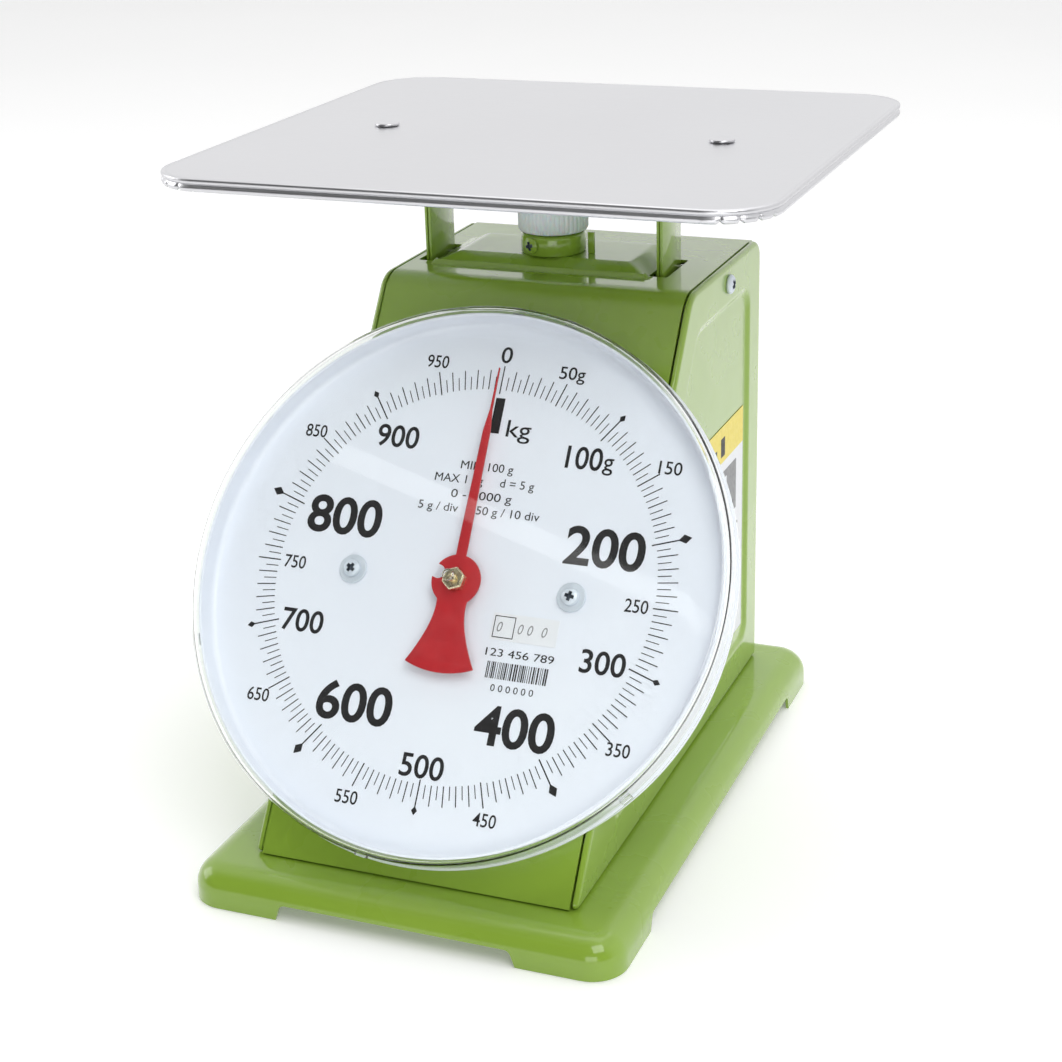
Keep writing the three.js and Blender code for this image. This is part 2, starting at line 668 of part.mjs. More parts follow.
function rearBracket() {
  const inner = LINK_ARM_X + BRACKET_SHEET;
  const outer = inner + BRACKET_SHEET;
  const back = CASE_BACK - SHEET - 2;
  const top = LINK_PIN_Z[1] + 10;
  const foot = CASE_BOTTOM;
  const spine = block([-outer, back - BRACKET_SHEET, foot], [outer, back, top]);
  const ears = [-1, 1].map((side) => {
    const [low, high] = side > 0 ? [inner, outer] : [-outer, -inner];
    return block([low, LINK_REAR_Y - 6, foot + 20], [high, back, top]);
  });
  const floor = block([-outer, back - 30, foot], [outer, back, foot + BRACKET_SHEET]);
  const pivots = LINK_PIN_Z.map((z) =>
    barX(PIN_RADIUS + PIN_PLAY, -outer - 5, outer + 5, 16).translate(0, LINK_REAR_Y, z - TRAVEL / 2),
  );
  const feet = trayScrewPlaces().map(([x, y]) => bar(SCREW_HOLE, foot - 5, foot + 5, 12).translate(x, y, 0));
  return cut(join(spine, ...ears, floor), ...pivots, ...feet);
}

function frontBracket() {
  const foot = CASE_BOTTOM;
  const near = CASE_FRONT + FRONT_FLANGE;
  const half = CASE_WIDTH / 2 - 15;
  const floor = block([-half, near, foot], [half, near + 16, foot + BRACKET_SHEET]);
  const wall = block([-half, near + 16 - BRACKET_SHEET, foot], [half, near + 16, foot + 10]);
  const holes = trayScrewPlaces().map(([x, y]) =>
    bar(SCREW_HOLE, foot - 5, foot + 5, 12).translate(x - CASE_OFFSET, y, 0),
  );
  return cut(join(floor, wall), ...holes).translate(CASE_OFFSET, 0, 0);
}

// ---------------------------------------------------------------- dial (in its own tilted frame)
const fromFace = (height) => DIAL_FACE + height;

function dialPan() {
  const inner = PAN_RADIUS - PAN_WALL;
  const profile = [
    [4, DIAL_FACE - 1.2], [inner, DIAL_FACE - 1.2], [inner, CLEAR], [PAN_RADIUS, CLEAR],
    [PAN_RADIUS, PAN_DEPTH], [inner, PAN_DEPTH], [inner, DIAL_FACE], [4, DIAL_FACE],
    [4, DIAL_FACE - 1.2],
  ];
  const holes = [-1, 1].map((side) =>
    bar(SCREW_HOLE, 0, 30, 12).translate((side * DIAL_SCREW_SPAN) / 2, 0, 0),
  );
  return cut(turned(profile, ROUND_FACETS), ...holes);
}

function lensCover() {
  const inner = LENS_RADIUS - LENS_WALL;
  const crown = LENS_FRONT;
  const shoulder = crown - LENS_DOME;
  const round = 3;
  const profile = [
    [0, crown - LENS_WALL], [inner * 0.5, crown - LENS_WALL - LENS_DOME * 0.25],
    [inner - 2, shoulder - LENS_WALL], [inner, shoulder - LENS_WALL - 2], [inner, LENS_BACK],
    [LENS_RADIUS, LENS_BACK], [LENS_RADIUS, shoulder - round],
    [LENS_RADIUS - 0.9, shoulder - 0.9], [LENS_RADIUS - round, shoulder],
    [inner * 0.5, crown - LENS_DOME * 0.25], [0, crown],
  ];
  return turned(profile, ROUND_FACETS);
}

const dialScrew = () => {
  const start = fromFace(1.2 + 2 * CLEAR);
  const profile = [
    [0, -5.6], [1.5, -5.6], [1.5, start], [3, start],
    [3, start + 0.7], [2.1, start + 1.7], [0, start + 1.9],
  ];
  return turned(profile, FACETS);
};
const dialWasher = () =>
  cut(bar(4.95, fromFace(CLEAR), fromFace(CLEAR + 1.2)), bar(SCREW_HOLE, 5, 20, 12));
const dialSpacer = () => cut(bar(4, CLEAR, DIAL_FACE - 1.2 - CLEAR), bar(SCREW_HOLE, -1, 20, 12));
const atScrew = (geometry, side) => geometry.translate((side * DIAL_SCREW_SPAN) / 2, 0, 0);

function pointer() {
  const low = fromFace(POINTER_LIFT);
  const outline = new THREE.Shape();
  const tailHalf = THREE.MathUtils.degToRad(22);
  const neck = 4.3;
  outline.moveTo(1.8, HUB_RADIUS - 0.6);
  outline.lineTo(1.4, POINTER_REACH * 0.72);
  outline.lineTo(0.5, POINTER_REACH * 0.8);
  outline.lineTo(0.3, POINTER_REACH);
  outline.lineTo(-0.3, POINTER_REACH);
  outline.lineTo(-0.5, POINTER_REACH * 0.8);
  outline.lineTo(-1.4, POINTER_REACH * 0.72);
  outline.lineTo(-1.8, HUB_RADIUS - 0.6);
  outline.lineTo(-neck, -HUB_RADIUS * 0.6);
  const tailX = POINTER_TAIL * Math.sin(tailHalf);
  const tailY = POINTER_TAIL * Math.cos(tailHalf);
  outline.quadraticCurveTo(-neck, -15, -tailX, -tailY);
  outline.absarc(0, 0, POINTER_TAIL, 1.5 * Math.PI - tailHalf, 1.5 * Math.PI + tailHalf, false);
  outline.quadraticCurveTo(neck, -15, neck, -HUB_RADIUS * 0.6);
  outline.closePath();
  const sheet = extrude(outline, low, low + POINTER_SHEET, 8);
  const hub = bar(HUB_RADIUS, low, low + POINTER_SHEET, 32);
  const notch = extrude(roundedRectangle(4.4, 8, 2), low - 1, low + 3, 5)
    .translate(0, HUB_RADIUS, 0)
    .rotateZ(THREE.MathUtils.degToRad(62));
  return cut(join(sheet, hub), notch, bar(1.8, low - 1, low + 3, 16));
}

function pointerNut() {
  const low = fromFace(POINTER_LIFT + POINTER_SHEET + CLEAR);
  return cut(bar(4.1, low, low + 3, 6), bar(1.8, low - 1, low + 5, 16));
}

// Straight-flanked teeth, thinned so that the mesh keeps a little backlash.
const toothHalfWidths = { root: 0.24 * toothPitch, pitch: 0.19 * toothPitch, tip: 0.1 * toothPitch };

function pinionOutline() {
  const rootRadius = pinionPitch - 1.1 * toothModule;
  const tipRadius = pinionPitch + 0.8 * toothModule;
  const points = [];
  for (let tooth = 0; tooth < PINION_TEETH; tooth += 1) {
    const middle = (2 * Math.PI * tooth) / PINION_TEETH;
    const profile = [
      [rootRadius, -toothHalfWidths.root], [pinionPitch, -toothHalfWidths.pitch],
      [tipRadius, -toothHalfWidths.tip], [tipRadius, toothHalfWidths.tip],
      [pinionPitch, toothHalfWidths.pitch], [rootRadius, toothHalfWidths.root],
    ];
    for (const [radius, offset] of profile) {
      const along = Math.sqrt(radius * radius - offset * offset);
      const x = along * Math.cos(middle) - offset * Math.sin(middle);
      const y = along * Math.sin(middle) + offset * Math.cos(middle);
      points.push(new THREE.Vector2(x, y));
    }
  }
  return new THREE.Shape(points);
}

function pinionShaft() {
  const teeth = extrude(pinionOutline(), RACK_DEPTH - 0.6, RACK_DEPTH + RACK_THICK + 0.6);
  const rear = bar(0.9, RACK_DEPTH - 5, RACK_DEPTH + RACK_THICK + 2, 16);
  const front = bar(1.5, RACK_DEPTH + RACK_THICK + 1.5, fromFace(POINTER_LIFT + 5), 16);
  return join(teeth, rear, front);
}

// ---------------------------------------------------------------- rack and its bracket (same frame)

function rack() {
  const front = RACK_DEPTH + RACK_THICK;
  const body = block([RACK_ROOT_X, EAR_V - 5, RACK_DEPTH], [RACK_BACK_X, GUIDE_V[0] + rackStroke + 5, front]);
  const teeth = [];
  const count = Math.ceil(rackStroke / toothPitch) + 4;
  for (let i = 0; i < count; i += 1) {
    const middle = (i - 2 + 0.5) * toothPitch;
    const tipX = pinionPitch - 0.8 * toothModule;
    const shape = new THREE.Shape();
    shape.moveTo(RACK_ROOT_X + 0.2, middle - toothHalfWidths.root);
    shape.lineTo(RACK_ROOT_X + 0.2, middle + toothHalfWidths.root);
    shape.lineTo(tipX, middle + toothHalfWidths.tip);
    shape.lineTo(tipX, middle - toothHalfWidths.tip);
    shape.closePath();
    teeth.push(extrude(shape, RACK_DEPTH, front));
  }
  const ear = block(
    [RACK_BACK_X - 1.6, EAR_V - 5, DRIVE_DEPTH - crossStroke - 5],
    [RACK_BACK_X, EAR_V + 5, front],
  );
  const guideSlots = GUIDE_V.map((v) =>
    extrude(
      roundedRectangle(2 * GUIDE_RADIUS + 0.6, rackStroke + 2 * GUIDE_RADIUS + 1.2, GUIDE_RADIUS + 0.3),
      RACK_DEPTH - 1,
      front + 1,
      4,
    ).translate(GUIDE_X, v + rackStroke / 2, 0),
  );
  const driveSlot = block(
    [RACK_BACK_X - 3, EAR_V - DRIVE_RADIUS - 0.35, DRIVE_DEPTH - crossStroke - DRIVE_RADIUS - 0.5],
    [RACK_BACK_X + 1, EAR_V + DRIVE_RADIUS + 0.35, DRIVE_DEPTH + DRIVE_RADIUS + 0.5],
  );
  return cut(join(body, ...teeth, ear), ...guideSlots, driveSlot);
}

function bearingBracket() {
  const wing = DIAL_SCREW_SPAN / 2 + 7;
  const half = -EAR_V - 7;
  const web = 20;
  const front = cut(
    extrude(roundedRectangle(2 * wing, 26, 5), PLATE_FRONT - BRACKET_SHEET, PLATE_FRONT),
    bar(SCREW_HOLE, -10, 10, 16),
  );
  const rear = block([-web, -half, PLATE_REAR - BRACKET_SHEET], [web, half, PLATE_REAR]);
  const webs = [-1, 1].map((side) =>
    block(
      [side > 0 ? web - BRACKET_SHEET : -web, -12, PLATE_REAR - BRACKET_SHEET],
      [side > 0 ? web : BRACKET_SHEET - web, 12, PLATE_FRONT],
    ),
  );
  const holes = [-1, 1].map((side) =>
    bar(SCREW_HOLE, -10, 10, 12).translate((side * DIAL_SCREW_SPAN) / 2, 0, 0),
  );
  return cut(join(front, rear, ...webs), ...holes, bar(1.05, PLATE_REAR - 5, PLATE_REAR + 3, 16));
}

const rackGuidePin = (v) =>
  bar(GUIDE_RADIUS, PLATE_REAR + CLEAR, RACK_DEPTH + RACK_THICK + 1.5, 16).translate(GUIDE_X, v, 0);

// The drive arm reaches forward from the cradle bar and carries the pin in the rack's cross slot.
function drivePinPlace() {
  return new THREE.Vector3(RACK_BACK_X, EAR_V, DRIVE_DEPTH).applyMatrix4(dialMatrix);
}

function driveArm() {
  const pin = drivePinPlace();
  const top = POST_FOOT + 2 - CLEAR;
  const rear = LOAD_Y + POST_DEPTH / 2 - 2;
  const points = [
    new THREE.Vector2(pin.y - 5, pin.z - 5),
    new THREE.Vector2(pin.y + 20, pin.z - 5),
    new THREE.Vector2(rear, top - 9),
    new THREE.Vector2(rear, top),
    new THREE.Vector2(pin.y + 36, top),
    new THREE.Vector2(pin.y + 16, pin.z + 3.4),
    new THREE.Vector2(pin.y - 5, pin.z + 3.4),
  ];
  const near = pin.x + 1;
  const arm = extrudeX(roundedOutline(points, [3, 0, 1, 0, 0, 0, 3]), near, near + BRACKET_SHEET, 4);
  return cut(arm, barX(DRIVE_RADIUS + PIN_PLAY, near - 5, near + 5, 16).translate(0, pin.y, pin.z));
}

function drivePin() {
  const pin = drivePinPlace();
  return barX(DRIVE_RADIUS, pin.x - 3.2, pin.x + 4, 16).translate(0, pin.y, pin.z);
}

// ---------------------------------------------------------------- assembly
const scale = new THREE.Group();
const dial = new THREE.Group();
dial.position.copy(DIAL_ORIGIN);
dial.rotation.x = Math.PI / 2 - CASE_TILT;
scale.add(dial);
scale.position.y = -CENTRE_Y;

function put(group, name, geometry, material) {
  const mesh = new THREE.Mesh(geometry, material);
  mesh.name = name;
  group.add(mesh);
}

put(scale, 'base_tray', baseTray(), greenPaint);
trayScrewPlaces().forEach(([x, y], i) => {
  put(scale, `tray_screw_${i + 1}`, trayScrew().translate(x, y, 0), zincSteel);
});
put(scale, 'wrap_sheet', wrapSheet(), greenPaint);
put(scale, 'back_cover', backCover(), greenPaint);
put(scale, 'side_label', sideLabel(), paper);
put(scale, 'rear_bracket', rearBracket(), zincSteel);
put(scale, 'front_bracket', frontBracket(), zincSteel);

put(scale, 'zero_knob', zeroKnob(), milkyPlastic);
put(scale, 'zero_rod', zeroRod(), zincSteel);
put(scale, 'knob_collar', knobCollar(), greenPaint);
put(scale, 'collar_screw', collarScrew(), zincSteel);
put(scale, 'turn_stop', turnStop(), greenPaint);
put(scale, 'hanger_yoke', hangerYoke(), zincSteel);

put(scale, 'platter', platter(), stainless);
put(scale, 'platter_bracket', platterBracket(), zincSteel);
put(scale, 'cradle_bridge', cradleBridge(), greenPaint);
put(scale, 'cradle_bar', cradleBar(), zincSteel);
put(scale, 'drive_arm', driveArm(), zincSteel);
put(scale, 'drive_pin', drivePin(), zincSteel);

for (const [side, word] of [[-1, 'left'], [1, 'right']]) {
  put(scale, `side_panel_${word}`, sidePanel(side), greenPaint);
  put(scale, `side_screw_${word}`, sideScrew(side), zincSteel);
  put(scale, `platter_rivet_${word}`, platterRivet(side), stainless);
  put(scale, `post_${word}`, post(side), greenPaint);
  put(scale, `spring_${word}`, spring(side), springSteel);
  put(dial, `dial_screw_${word}`, atScrew(dialScrew(), side), zincSteel);
  put(dial, `dial_washer_${word}`, atScrew(dialWasher(), side), zincSteel);
  put(dial, `dial_spacer_${word}`, atScrew(dialSpacer(), side), zincSteel);
}

LINK_PIN_Z.forEach((z, i) => {
  const word = ['lower', 'upper'][i];
  put(scale, `guide_link_${word}`, guideLink(z), zincSteel);
  put(scale, `link_pin_front_${word}`, linkPin(LINK_FRONT_Y, z), zincSteel);
  put(scale, `link_pin_rear_${word}`, linkPin(LINK_REAR_Y, z - TRAVEL / 2), zincSteel);
  put(dial, `rack_guide_pin_${word}`, rackGuidePin(GUIDE_V[1 - i]), brass);
});

put(dial, 'dial_pan', dialPan(), whitePlastic);
put(dial, 'lens_cover', lensCover(), clearPlastic);
put(dial, 'pointer', pointer(), redPaint);
put(dial, 'pointer_nut', pointerNut(), brass);
put(dial, 'pinion_shaft', pinionShaft(), brass);
put(dial, 'rack', rack(), brass);
put(dial, 'bearing_bracket', bearingBracket(), zincSteel);

export default scale;
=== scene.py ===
# %% [markdown]
# A mechanical dial platform scale, dressed in Blender around its mechanical model. Everything
# made below is fitted to those places, so nothing has to be lined up by eye.

# %% Load the frame
import json
import math
import random

import bmesh
import bpy
from mathutils import Matrix, Vector


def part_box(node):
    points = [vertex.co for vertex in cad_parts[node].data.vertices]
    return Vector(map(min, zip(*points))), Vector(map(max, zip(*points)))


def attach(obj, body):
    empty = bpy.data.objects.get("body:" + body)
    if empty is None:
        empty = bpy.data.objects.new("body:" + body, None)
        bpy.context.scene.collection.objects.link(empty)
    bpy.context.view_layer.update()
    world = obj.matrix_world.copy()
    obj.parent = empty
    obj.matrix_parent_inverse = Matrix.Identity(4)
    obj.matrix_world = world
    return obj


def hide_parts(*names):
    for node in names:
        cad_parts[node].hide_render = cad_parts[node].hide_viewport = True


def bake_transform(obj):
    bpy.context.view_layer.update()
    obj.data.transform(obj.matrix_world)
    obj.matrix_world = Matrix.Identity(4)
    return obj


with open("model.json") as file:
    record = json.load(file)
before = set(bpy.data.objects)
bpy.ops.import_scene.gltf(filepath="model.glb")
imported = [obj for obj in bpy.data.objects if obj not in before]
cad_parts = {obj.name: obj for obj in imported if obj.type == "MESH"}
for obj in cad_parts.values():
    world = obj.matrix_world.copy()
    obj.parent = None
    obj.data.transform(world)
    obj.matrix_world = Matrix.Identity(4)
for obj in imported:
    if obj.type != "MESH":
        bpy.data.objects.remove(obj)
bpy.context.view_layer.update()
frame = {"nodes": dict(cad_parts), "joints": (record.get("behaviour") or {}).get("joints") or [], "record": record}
random.seed(7)
MM = 0.001

# %% [markdown]
# Sizes come from the frame. The dial is tilted, so it gets its own axes: the pointer's hinge gives
# its centre and the direction it faces. Points on the dial are then plain (across, up, out) numbers.

# %% Measure the frame
tray_low, tray_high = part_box("base_tray")
panel_low, panel_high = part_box("side_panel_right")
other_low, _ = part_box("side_panel_left")
plate_low, plate_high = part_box("platter")
hinge = next(joint for joint in frame["joints"] if joint["name"] == "pointer_turn")
dial_out = -Vector(hinge["axis"]).normalized()
dial_up = Vector((0, dial_out.z, -dial_out.y))
DIAL = Matrix.Translation(hinge["pos_m"]) @ Matrix(
    ((1, 0, 0, 0), (0, dial_up.y, dial_out.y, 0), (0, dial_up.z, dial_out.z, 0), (0, 0, 0, 1))
)
case_tilt = math.atan2(dial_up.y, dial_up.z)
case_middle = (panel_high.x + other_low.x) / 2
case_half = (panel_high.x - other_low.x) / 2
case_front = panel_low.y
case_back = panel_high.y
case_foot = panel_low.z
case_top = panel_high.z
case_shoulder = case_front + (case_top - case_foot) * math.tan(case_tilt)
load_y = (plate_low.y + plate_high.y) / 2
print("case tilt", round(math.degrees(case_tilt), 2), "degrees; case width", round(2 * case_half, 4))

# %% [markdown]
# Three small tools build nearly every piece. `loft` joins rings of points with quads, like ribs under
# a hull. `turned` spins a profile. `settle` turns modifiers into plain mesh, so a piece can be cut
# and its edges rounded step by step.

# %% Mesh tools
def new_object(name, points, faces):
    mesh = bpy.data.meshes.new(name)
    mesh.from_pydata([tuple(point) for point in points], [], faces)
    mesh.validate()
    made = bpy.data.objects.new(name, mesh)
    bpy.context.scene.collection.objects.link(made)
    return made


def loft(name, rings, closed=False):
    count = len(rings[0])
    points = [point for ring in rings for point in ring]
    faces = []
    last = len(rings) if closed else len(rings) - 1
    for row in range(last):
        lower = row * count
        upper = ((row + 1) % len(rings)) * count
        for i in range(count):
            j = (i + 1) % count
            faces.append((lower + i, lower + j, upper + j, upper + i))
    if not closed:
        faces.append(tuple(reversed(range(count))))
        faces.append(tuple(range((len(rings) - 1) * count, len(rings) * count)))
    return outward(new_object(name, points, faces))


def outward(made):
    shell = bmesh.new()
    shell.from_mesh(made.data)
    bmesh.ops.recalc_face_normals(shell, faces=shell.faces)
    shell.to_mesh(made.data)
    shell.free()
    return made


def settle(made):
    bpy.context.view_layer.update()
    graph = bpy.context.evaluated_depsgraph_get()
    made.data = bpy.data.meshes.new_from_object(made.evaluated_get(graph))
    made.modifiers.clear()
    return made


def carve(made, *cutters):
    for cutter in cutters:
        cut = made.modifiers.new("cut", "BOOLEAN")
        cut.operation = "DIFFERENCE"
        cut.solver = "EXACT"
        cut.object = cutter
    settle(made)
    for cutter in cutters:
        bpy.data.objects.remove(cutter)
    return made


def round_edges(made, width, segments=2, angle=35):
    bevel = made.modifiers.new("round", "BEVEL")
    bevel.width = width
    bevel.segments = segments
    bevel.limit_method = "ANGLE"
    bevel.angle_limit = math.radians(angle)
    bevel.harden_normals = False
    return settle(made)


def smooth(made, angle=32):
    made.data.polygons.foreach_set("use_smooth", [True] * len(made.data.polygons))
    made.data.set_sharp_from_angle(angle=math.radians(angle))
    return made


print("mesh tools ready")

# %% [markdown]
# Pressed sheet has rounded corners everywhere. `corner_ring` walks round a convex outline and lays
# an arc in each corner; every ring made with the same number of steps can be lofted to the next.

# %% Outlines
def inset_corners(corners, distance):
    moved = []
    count = len(corners)
    for i, corner in enumerate(corners):
        before = (corner - corners[i - 1]).normalized()
        after = (corners[(i + 1) % count] - corner).normalized()
        inward_before = Vector((-before.y, before.x))
        inward_after = Vector((-after.y, after.x))
        bisector = inward_before + inward_after
        moved.append(corner + bisector * (2 * distance / bisector.length_squared))
    return moved


def spun(arm, turn):
    cosine, sine = math.cos(turn), math.sin(turn)
    return Vector((arm.x * cosine - arm.y * sine, arm.x * sine + arm.y * cosine))


def corner_ring(corners, radii, steps):
    ring = []
    count = len(corners)
    for i, corner in enumerate(corners):
        back = (corners[i - 1] - corner).normalized()
        ahead = (corners[(i + 1) % count] - corner).normalized()
        half = back.angle(ahead) / 2
        radius = max(radii[i], 1e-6)
        centre = corner + (back + ahead).normalized() * (radius / math.sin(half))
        start = corner + back * (radius / math.tan(half)) - centre
        sweep = math.pi - 2 * half
        for k in range(steps):
            ring.append(centre + spun(start, sweep * k / (steps - 1)))
    return ring


def rectangle(width, depth):
    x, y = width / 2, depth / 2
    return [Vector((-x, -y)), Vector((x, -y)), Vector((x, y)), Vector((-x, y))]


def flat_ring(corners, radii, steps, centre, height):
    return [
        Vector((centre.x + point.x, centre.y + point.y, height))
        for point in corner_ring(corners, radii, steps)
    ]


def turned(name, profile, place, sides=96, closed=False):
    rings = []
    for radius, height in profile:
        ring = []
        for i in range(sides):
            turn = 2 * math.pi * i / sides
            ring.append(place @ Vector((radius * math.cos(turn), radius * math.sin(turn), height)))
        rings.append(ring)
    return loft(name, rings, closed)


def quarter_arc(radius_from, height_from, radius_to, height_to, steps=6, bulge_first=True):
    arc = []
    for k in range(1, steps + 1):
        turn = math.pi / 2 * k / steps
        if bulge_first:
            across, rise = 1 - math.cos(turn), math.sin(turn)
        else:
            across, rise = math.sin(turn), 1 - math.cos(turn)
        arc.append(
            (
                radius_from + (radius_to - radius_from) * across,
                height_from + (height_to - height_from) * rise,
            )
        )
    return arc


print("outline tools ready")

# %% [markdown]
# Finishes are node materials. Each one starts from the Principled shader; noise textures in object
# space vary the colour and the roughness a little, and a bump gives the surface its fine grain.
# Values that are the same all over are set on the shader's own sockets.

# %% Finish tools
def new_finish(name, colour, roughness, metallic=0.0):
    material = bpy.data.materials.new(name)
    material.use_nodes = True
    shader = material.node_tree.nodes["Principled BSDF"]
    shader.inputs["Base Color"].default_value = (*colour, 1)
    shader.inputs["Roughness"].default_value = roughness
    shader.inputs["Metallic"].default_value = metallic
    material.diffuse_color = (*colour, 1)
    return material, shader


def add_noise(material, scale, detail=3, stretch=(1, 1, 1)):
    tree = material.node_tree
    coordinates = tree.nodes.new("ShaderNodeTexCoord")
    mapping = tree.nodes.new("ShaderNodeMapping")
    mapping.inputs["Scale"].default_value = stretch
    noise = tree.nodes.new("ShaderNodeTexNoise")
    noise.inputs["Scale"].default_value = scale
    noise.inputs["Detail"].default_value = detail
    tree.links.new(coordinates.outputs["Object"], mapping.inputs["Vector"])
    tree.links.new(mapping.outputs["Vector"], noise.inputs["Vector"])
    return noise.outputs["Fac"]


def vary_colour(material, shader, fac, low, high, start=0.3, end=0.7):
    tree = material.node_tree
    ramp = tree.nodes.new("ShaderNodeValToRGB")
    ramp.color_ramp.elements[0].position = start
    ramp.color_ramp.elements[0].color = (*low, 1)
    ramp.color_ramp.elements[1].position = end
    ramp.color_ramp.elements[1].color = (*high, 1)
    tree.links.new(fac, ramp.inputs["Fac"])
    tree.links.new(ramp.outputs["Color"], shader.inputs["Base Color"])


def vary_roughness(material, shader, fac, low, high):
    tree = material.node_tree
    span = tree.nodes.new("ShaderNodeMapRange")
    span.inputs["From Min"].default_value = 0.3
    span.inputs["From Max"].default_value = 0.7
    span.inputs["To Min"].default_value = low
    span.inputs["To Max"].default_value = high
    tree.links.new(fac, span.inputs["Value"])
    tree.links.new(span.outputs["Result"], shader.inputs["Roughness"])


def add_bump(material, shader, fac, strength, distance):
    tree = material.node_tree
    bump = tree.nodes.new("ShaderNodeBump")
    bump.inputs["Strength"].default_value = strength
    bump.inputs["Distance"].default_value = distance
    tree.links.new(fac, bump.inputs["Height"])
    tree.links.new(bump.outputs["Normal"], shader.inputs["Normal"])


print("finish tools ready")

# %% [markdown]
# Green baked paint: a thick glossy coat over steel. The colour drifts very slightly, and the coat has
# the faint orange-peel ripple of sprayed enamel. A clear coat layer gives the sharp reflections.

# %% Green paint
def green_enamel():
    material, shader = new_finish("green_enamel", (0.25, 0.4, 0.04), 0.28)
    shader.inputs["Specular IOR Level"].default_value = 0.2
    shader.inputs["Coat Weight"].default_value = 1.0
    shader.inputs["Coat Roughness"].default_value = 0.05
    shader.inputs["Coat IOR"].default_value = 1.5
    vary_colour(material, shader, add_noise(material, 14, 3), (0.238, 0.385, 0.037), (0.265, 0.415, 0.045))
    vary_roughness(material, shader, add_noise(material, 45, 3), 0.24, 0.34)
    add_bump(material, shader, add_noise(material, 120, 1), 0.006, 0.0003)
    return material


GREEN = green_enamel()
print("finish:", GREEN.name)

# %% [markdown]
# Bare metals. The platter is fine-brushed stainless, so its noise is stretched along one axis; the
# screws are bright zinc plate, a little cloudy; brass is warm and darkens in patches.

# %% Metals
def brushed_stainless():
    material, shader = new_finish("brushed_stainless", (0.65, 0.65, 0.67), 0.3, 1.0)
    grain = add_noise(material, 160, 4, (1, 14, 1))
    cloud = add_noise(material, 7, 2)
    vary_colour(material, shader, cloud, (0.64, 0.64, 0.66), (0.665, 0.665, 0.685))
    vary_roughness(material, shader, grain, 0.29, 0.34)
    add_bump(material, shader, grain, 0.006, 0.0001)
    return material


def zinc_plate():
    material, shader = new_finish("zinc_plate", (0.74, 0.79, 0.85), 0.4, 0.35)
    vary_colour(material, shader, add_noise(material, 140, 4), (0.62, 0.68, 0.75), (0.74, 0.79, 0.86))
    vary_roughness(material, shader, add_noise(material, 300, 4), 0.34, 0.5)
    add_bump(material, shader, add_noise(material, 900, 3), 0.05, 0.0002)
    return material


def turned_brass():
    material, shader = new_finish("turned_brass", (0.82, 0.7, 0.44), 0.25, 1.0)
    vary_colour(material, shader, add_noise(material, 200, 4), (0.76, 0.64, 0.38), (0.88, 0.78, 0.54))
    vary_roughness(material, shader, add_noise(material, 500, 3), 0.16, 0.36)
    add_bump(material, shader, add_noise(material, 1200, 2), 0.04, 0.0001)
    return material


def spring_wire():
    material, shader = new_finish("spring_wire", (0.36, 0.37, 0.38), 0.3, 1.0)
    vary_colour(material, shader, add_noise(material, 260, 4), (0.28, 0.285, 0.29), (0.46, 0.465, 0.47))
    vary_roughness(material, shader, add_noise(material, 400, 3), 0.22, 0.42)
    return material


STAINLESS = brushed_stainless()
ZINC = zinc_plate()
BRASS = turned_brass()
SPRING = spring_wire()
print("metals:", STAINLESS.name, ZINC.name, BRASS.name, SPRING.name)

# %% [markdown]
# Plastics and inks. The dial is smooth bluish-white enamel. The cover is clear: glass that also lets
# the lamps' shadow rays through, so that the dial under it stays bright.

# %% Plastics, inks and paper
def white_enamel():
    material, shader = new_finish("white_enamel", (0.83, 0.86, 0.94), 0.32)
    shader.inputs["Coat Weight"].default_value = 0.25
    shader.inputs["Coat Roughness"].default_value = 0.12
    vary_colour(material, shader, add_noise(material, 12, 3), (0.815, 0.845, 0.93), (0.845, 0.875, 0.95))
    vary_roughness(material, shader, add_noise(material, 80, 4), 0.28, 0.38)
    return material


def clear_cover():
    material, shader = new_finish("clear_cover", (0.97, 0.985, 0.975), 0.02)
    shader.inputs["Transmission Weight"].default_value = 1.0
    shader.inputs["IOR"].default_value = 1.45
    vary_roughness(material, shader, add_noise(material, 40, 3), 0.01, 0.04)
    tree = material.node_tree
    path = tree.nodes.new("ShaderNodeLightPath")
    open_way = tree.nodes.new("ShaderNodeBsdfTransparent")
    open_way.inputs["Color"].default_value = (0.97, 0.985, 0.975, 1)
    mix = tree.nodes.new("ShaderNodeMixShader")
    tree.links.new(path.outputs["Is Shadow Ray"], mix.inputs["Fac"])
    tree.links.new(shader.outputs["BSDF"], mix.inputs[1])
    tree.links.new(open_way.outputs["BSDF"], mix.inputs[2])
    output = tree.nodes["Material Output"]
    tree.links.new(mix.outputs["Shader"], output.inputs["Surface"])
    return material


def milky_knob():
    material, shader = new_finish("milky_knob", (0.7, 0.76, 0.77), 0.4)
    shader.inputs["Subsurface Weight"].default_value = 0.35
    shader.inputs["Subsurface Scale"].default_value = 0.003
    vary_colour(material, shader, add_noise(material, 70, 3), (0.67, 0.74, 0.75), (0.74, 0.8, 0.81))
    vary_roughness(material, shader, add_noise(material, 160, 3), 0.34, 0.5)
    return material


def red_lacquer():
    material, shader = new_finish("red_lacquer", (0.46, 0.01, 0.016), 0.35)
    shader.inputs["Coat Weight"].default_value = 0.3
    shader.inputs["Coat Roughness"].default_value = 0.15
    vary_colour(material, shader, add_noise(material, 90, 3), (0.43, 0.008, 0.014), (0.5, 0.014, 0.02))
    vary_roughness(material, shader, add_noise(material, 300, 3), 0.3, 0.44)
    return material


def flat_ink(name, low, high):
    material, shader = new_finish(name, low, 0.45)
    vary_colour(material, shader, add_noise(material, 500, 3), low, high)
    vary_roughness(material, shader, add_noise(material, 700, 3), 0.4, 0.55)
    return material


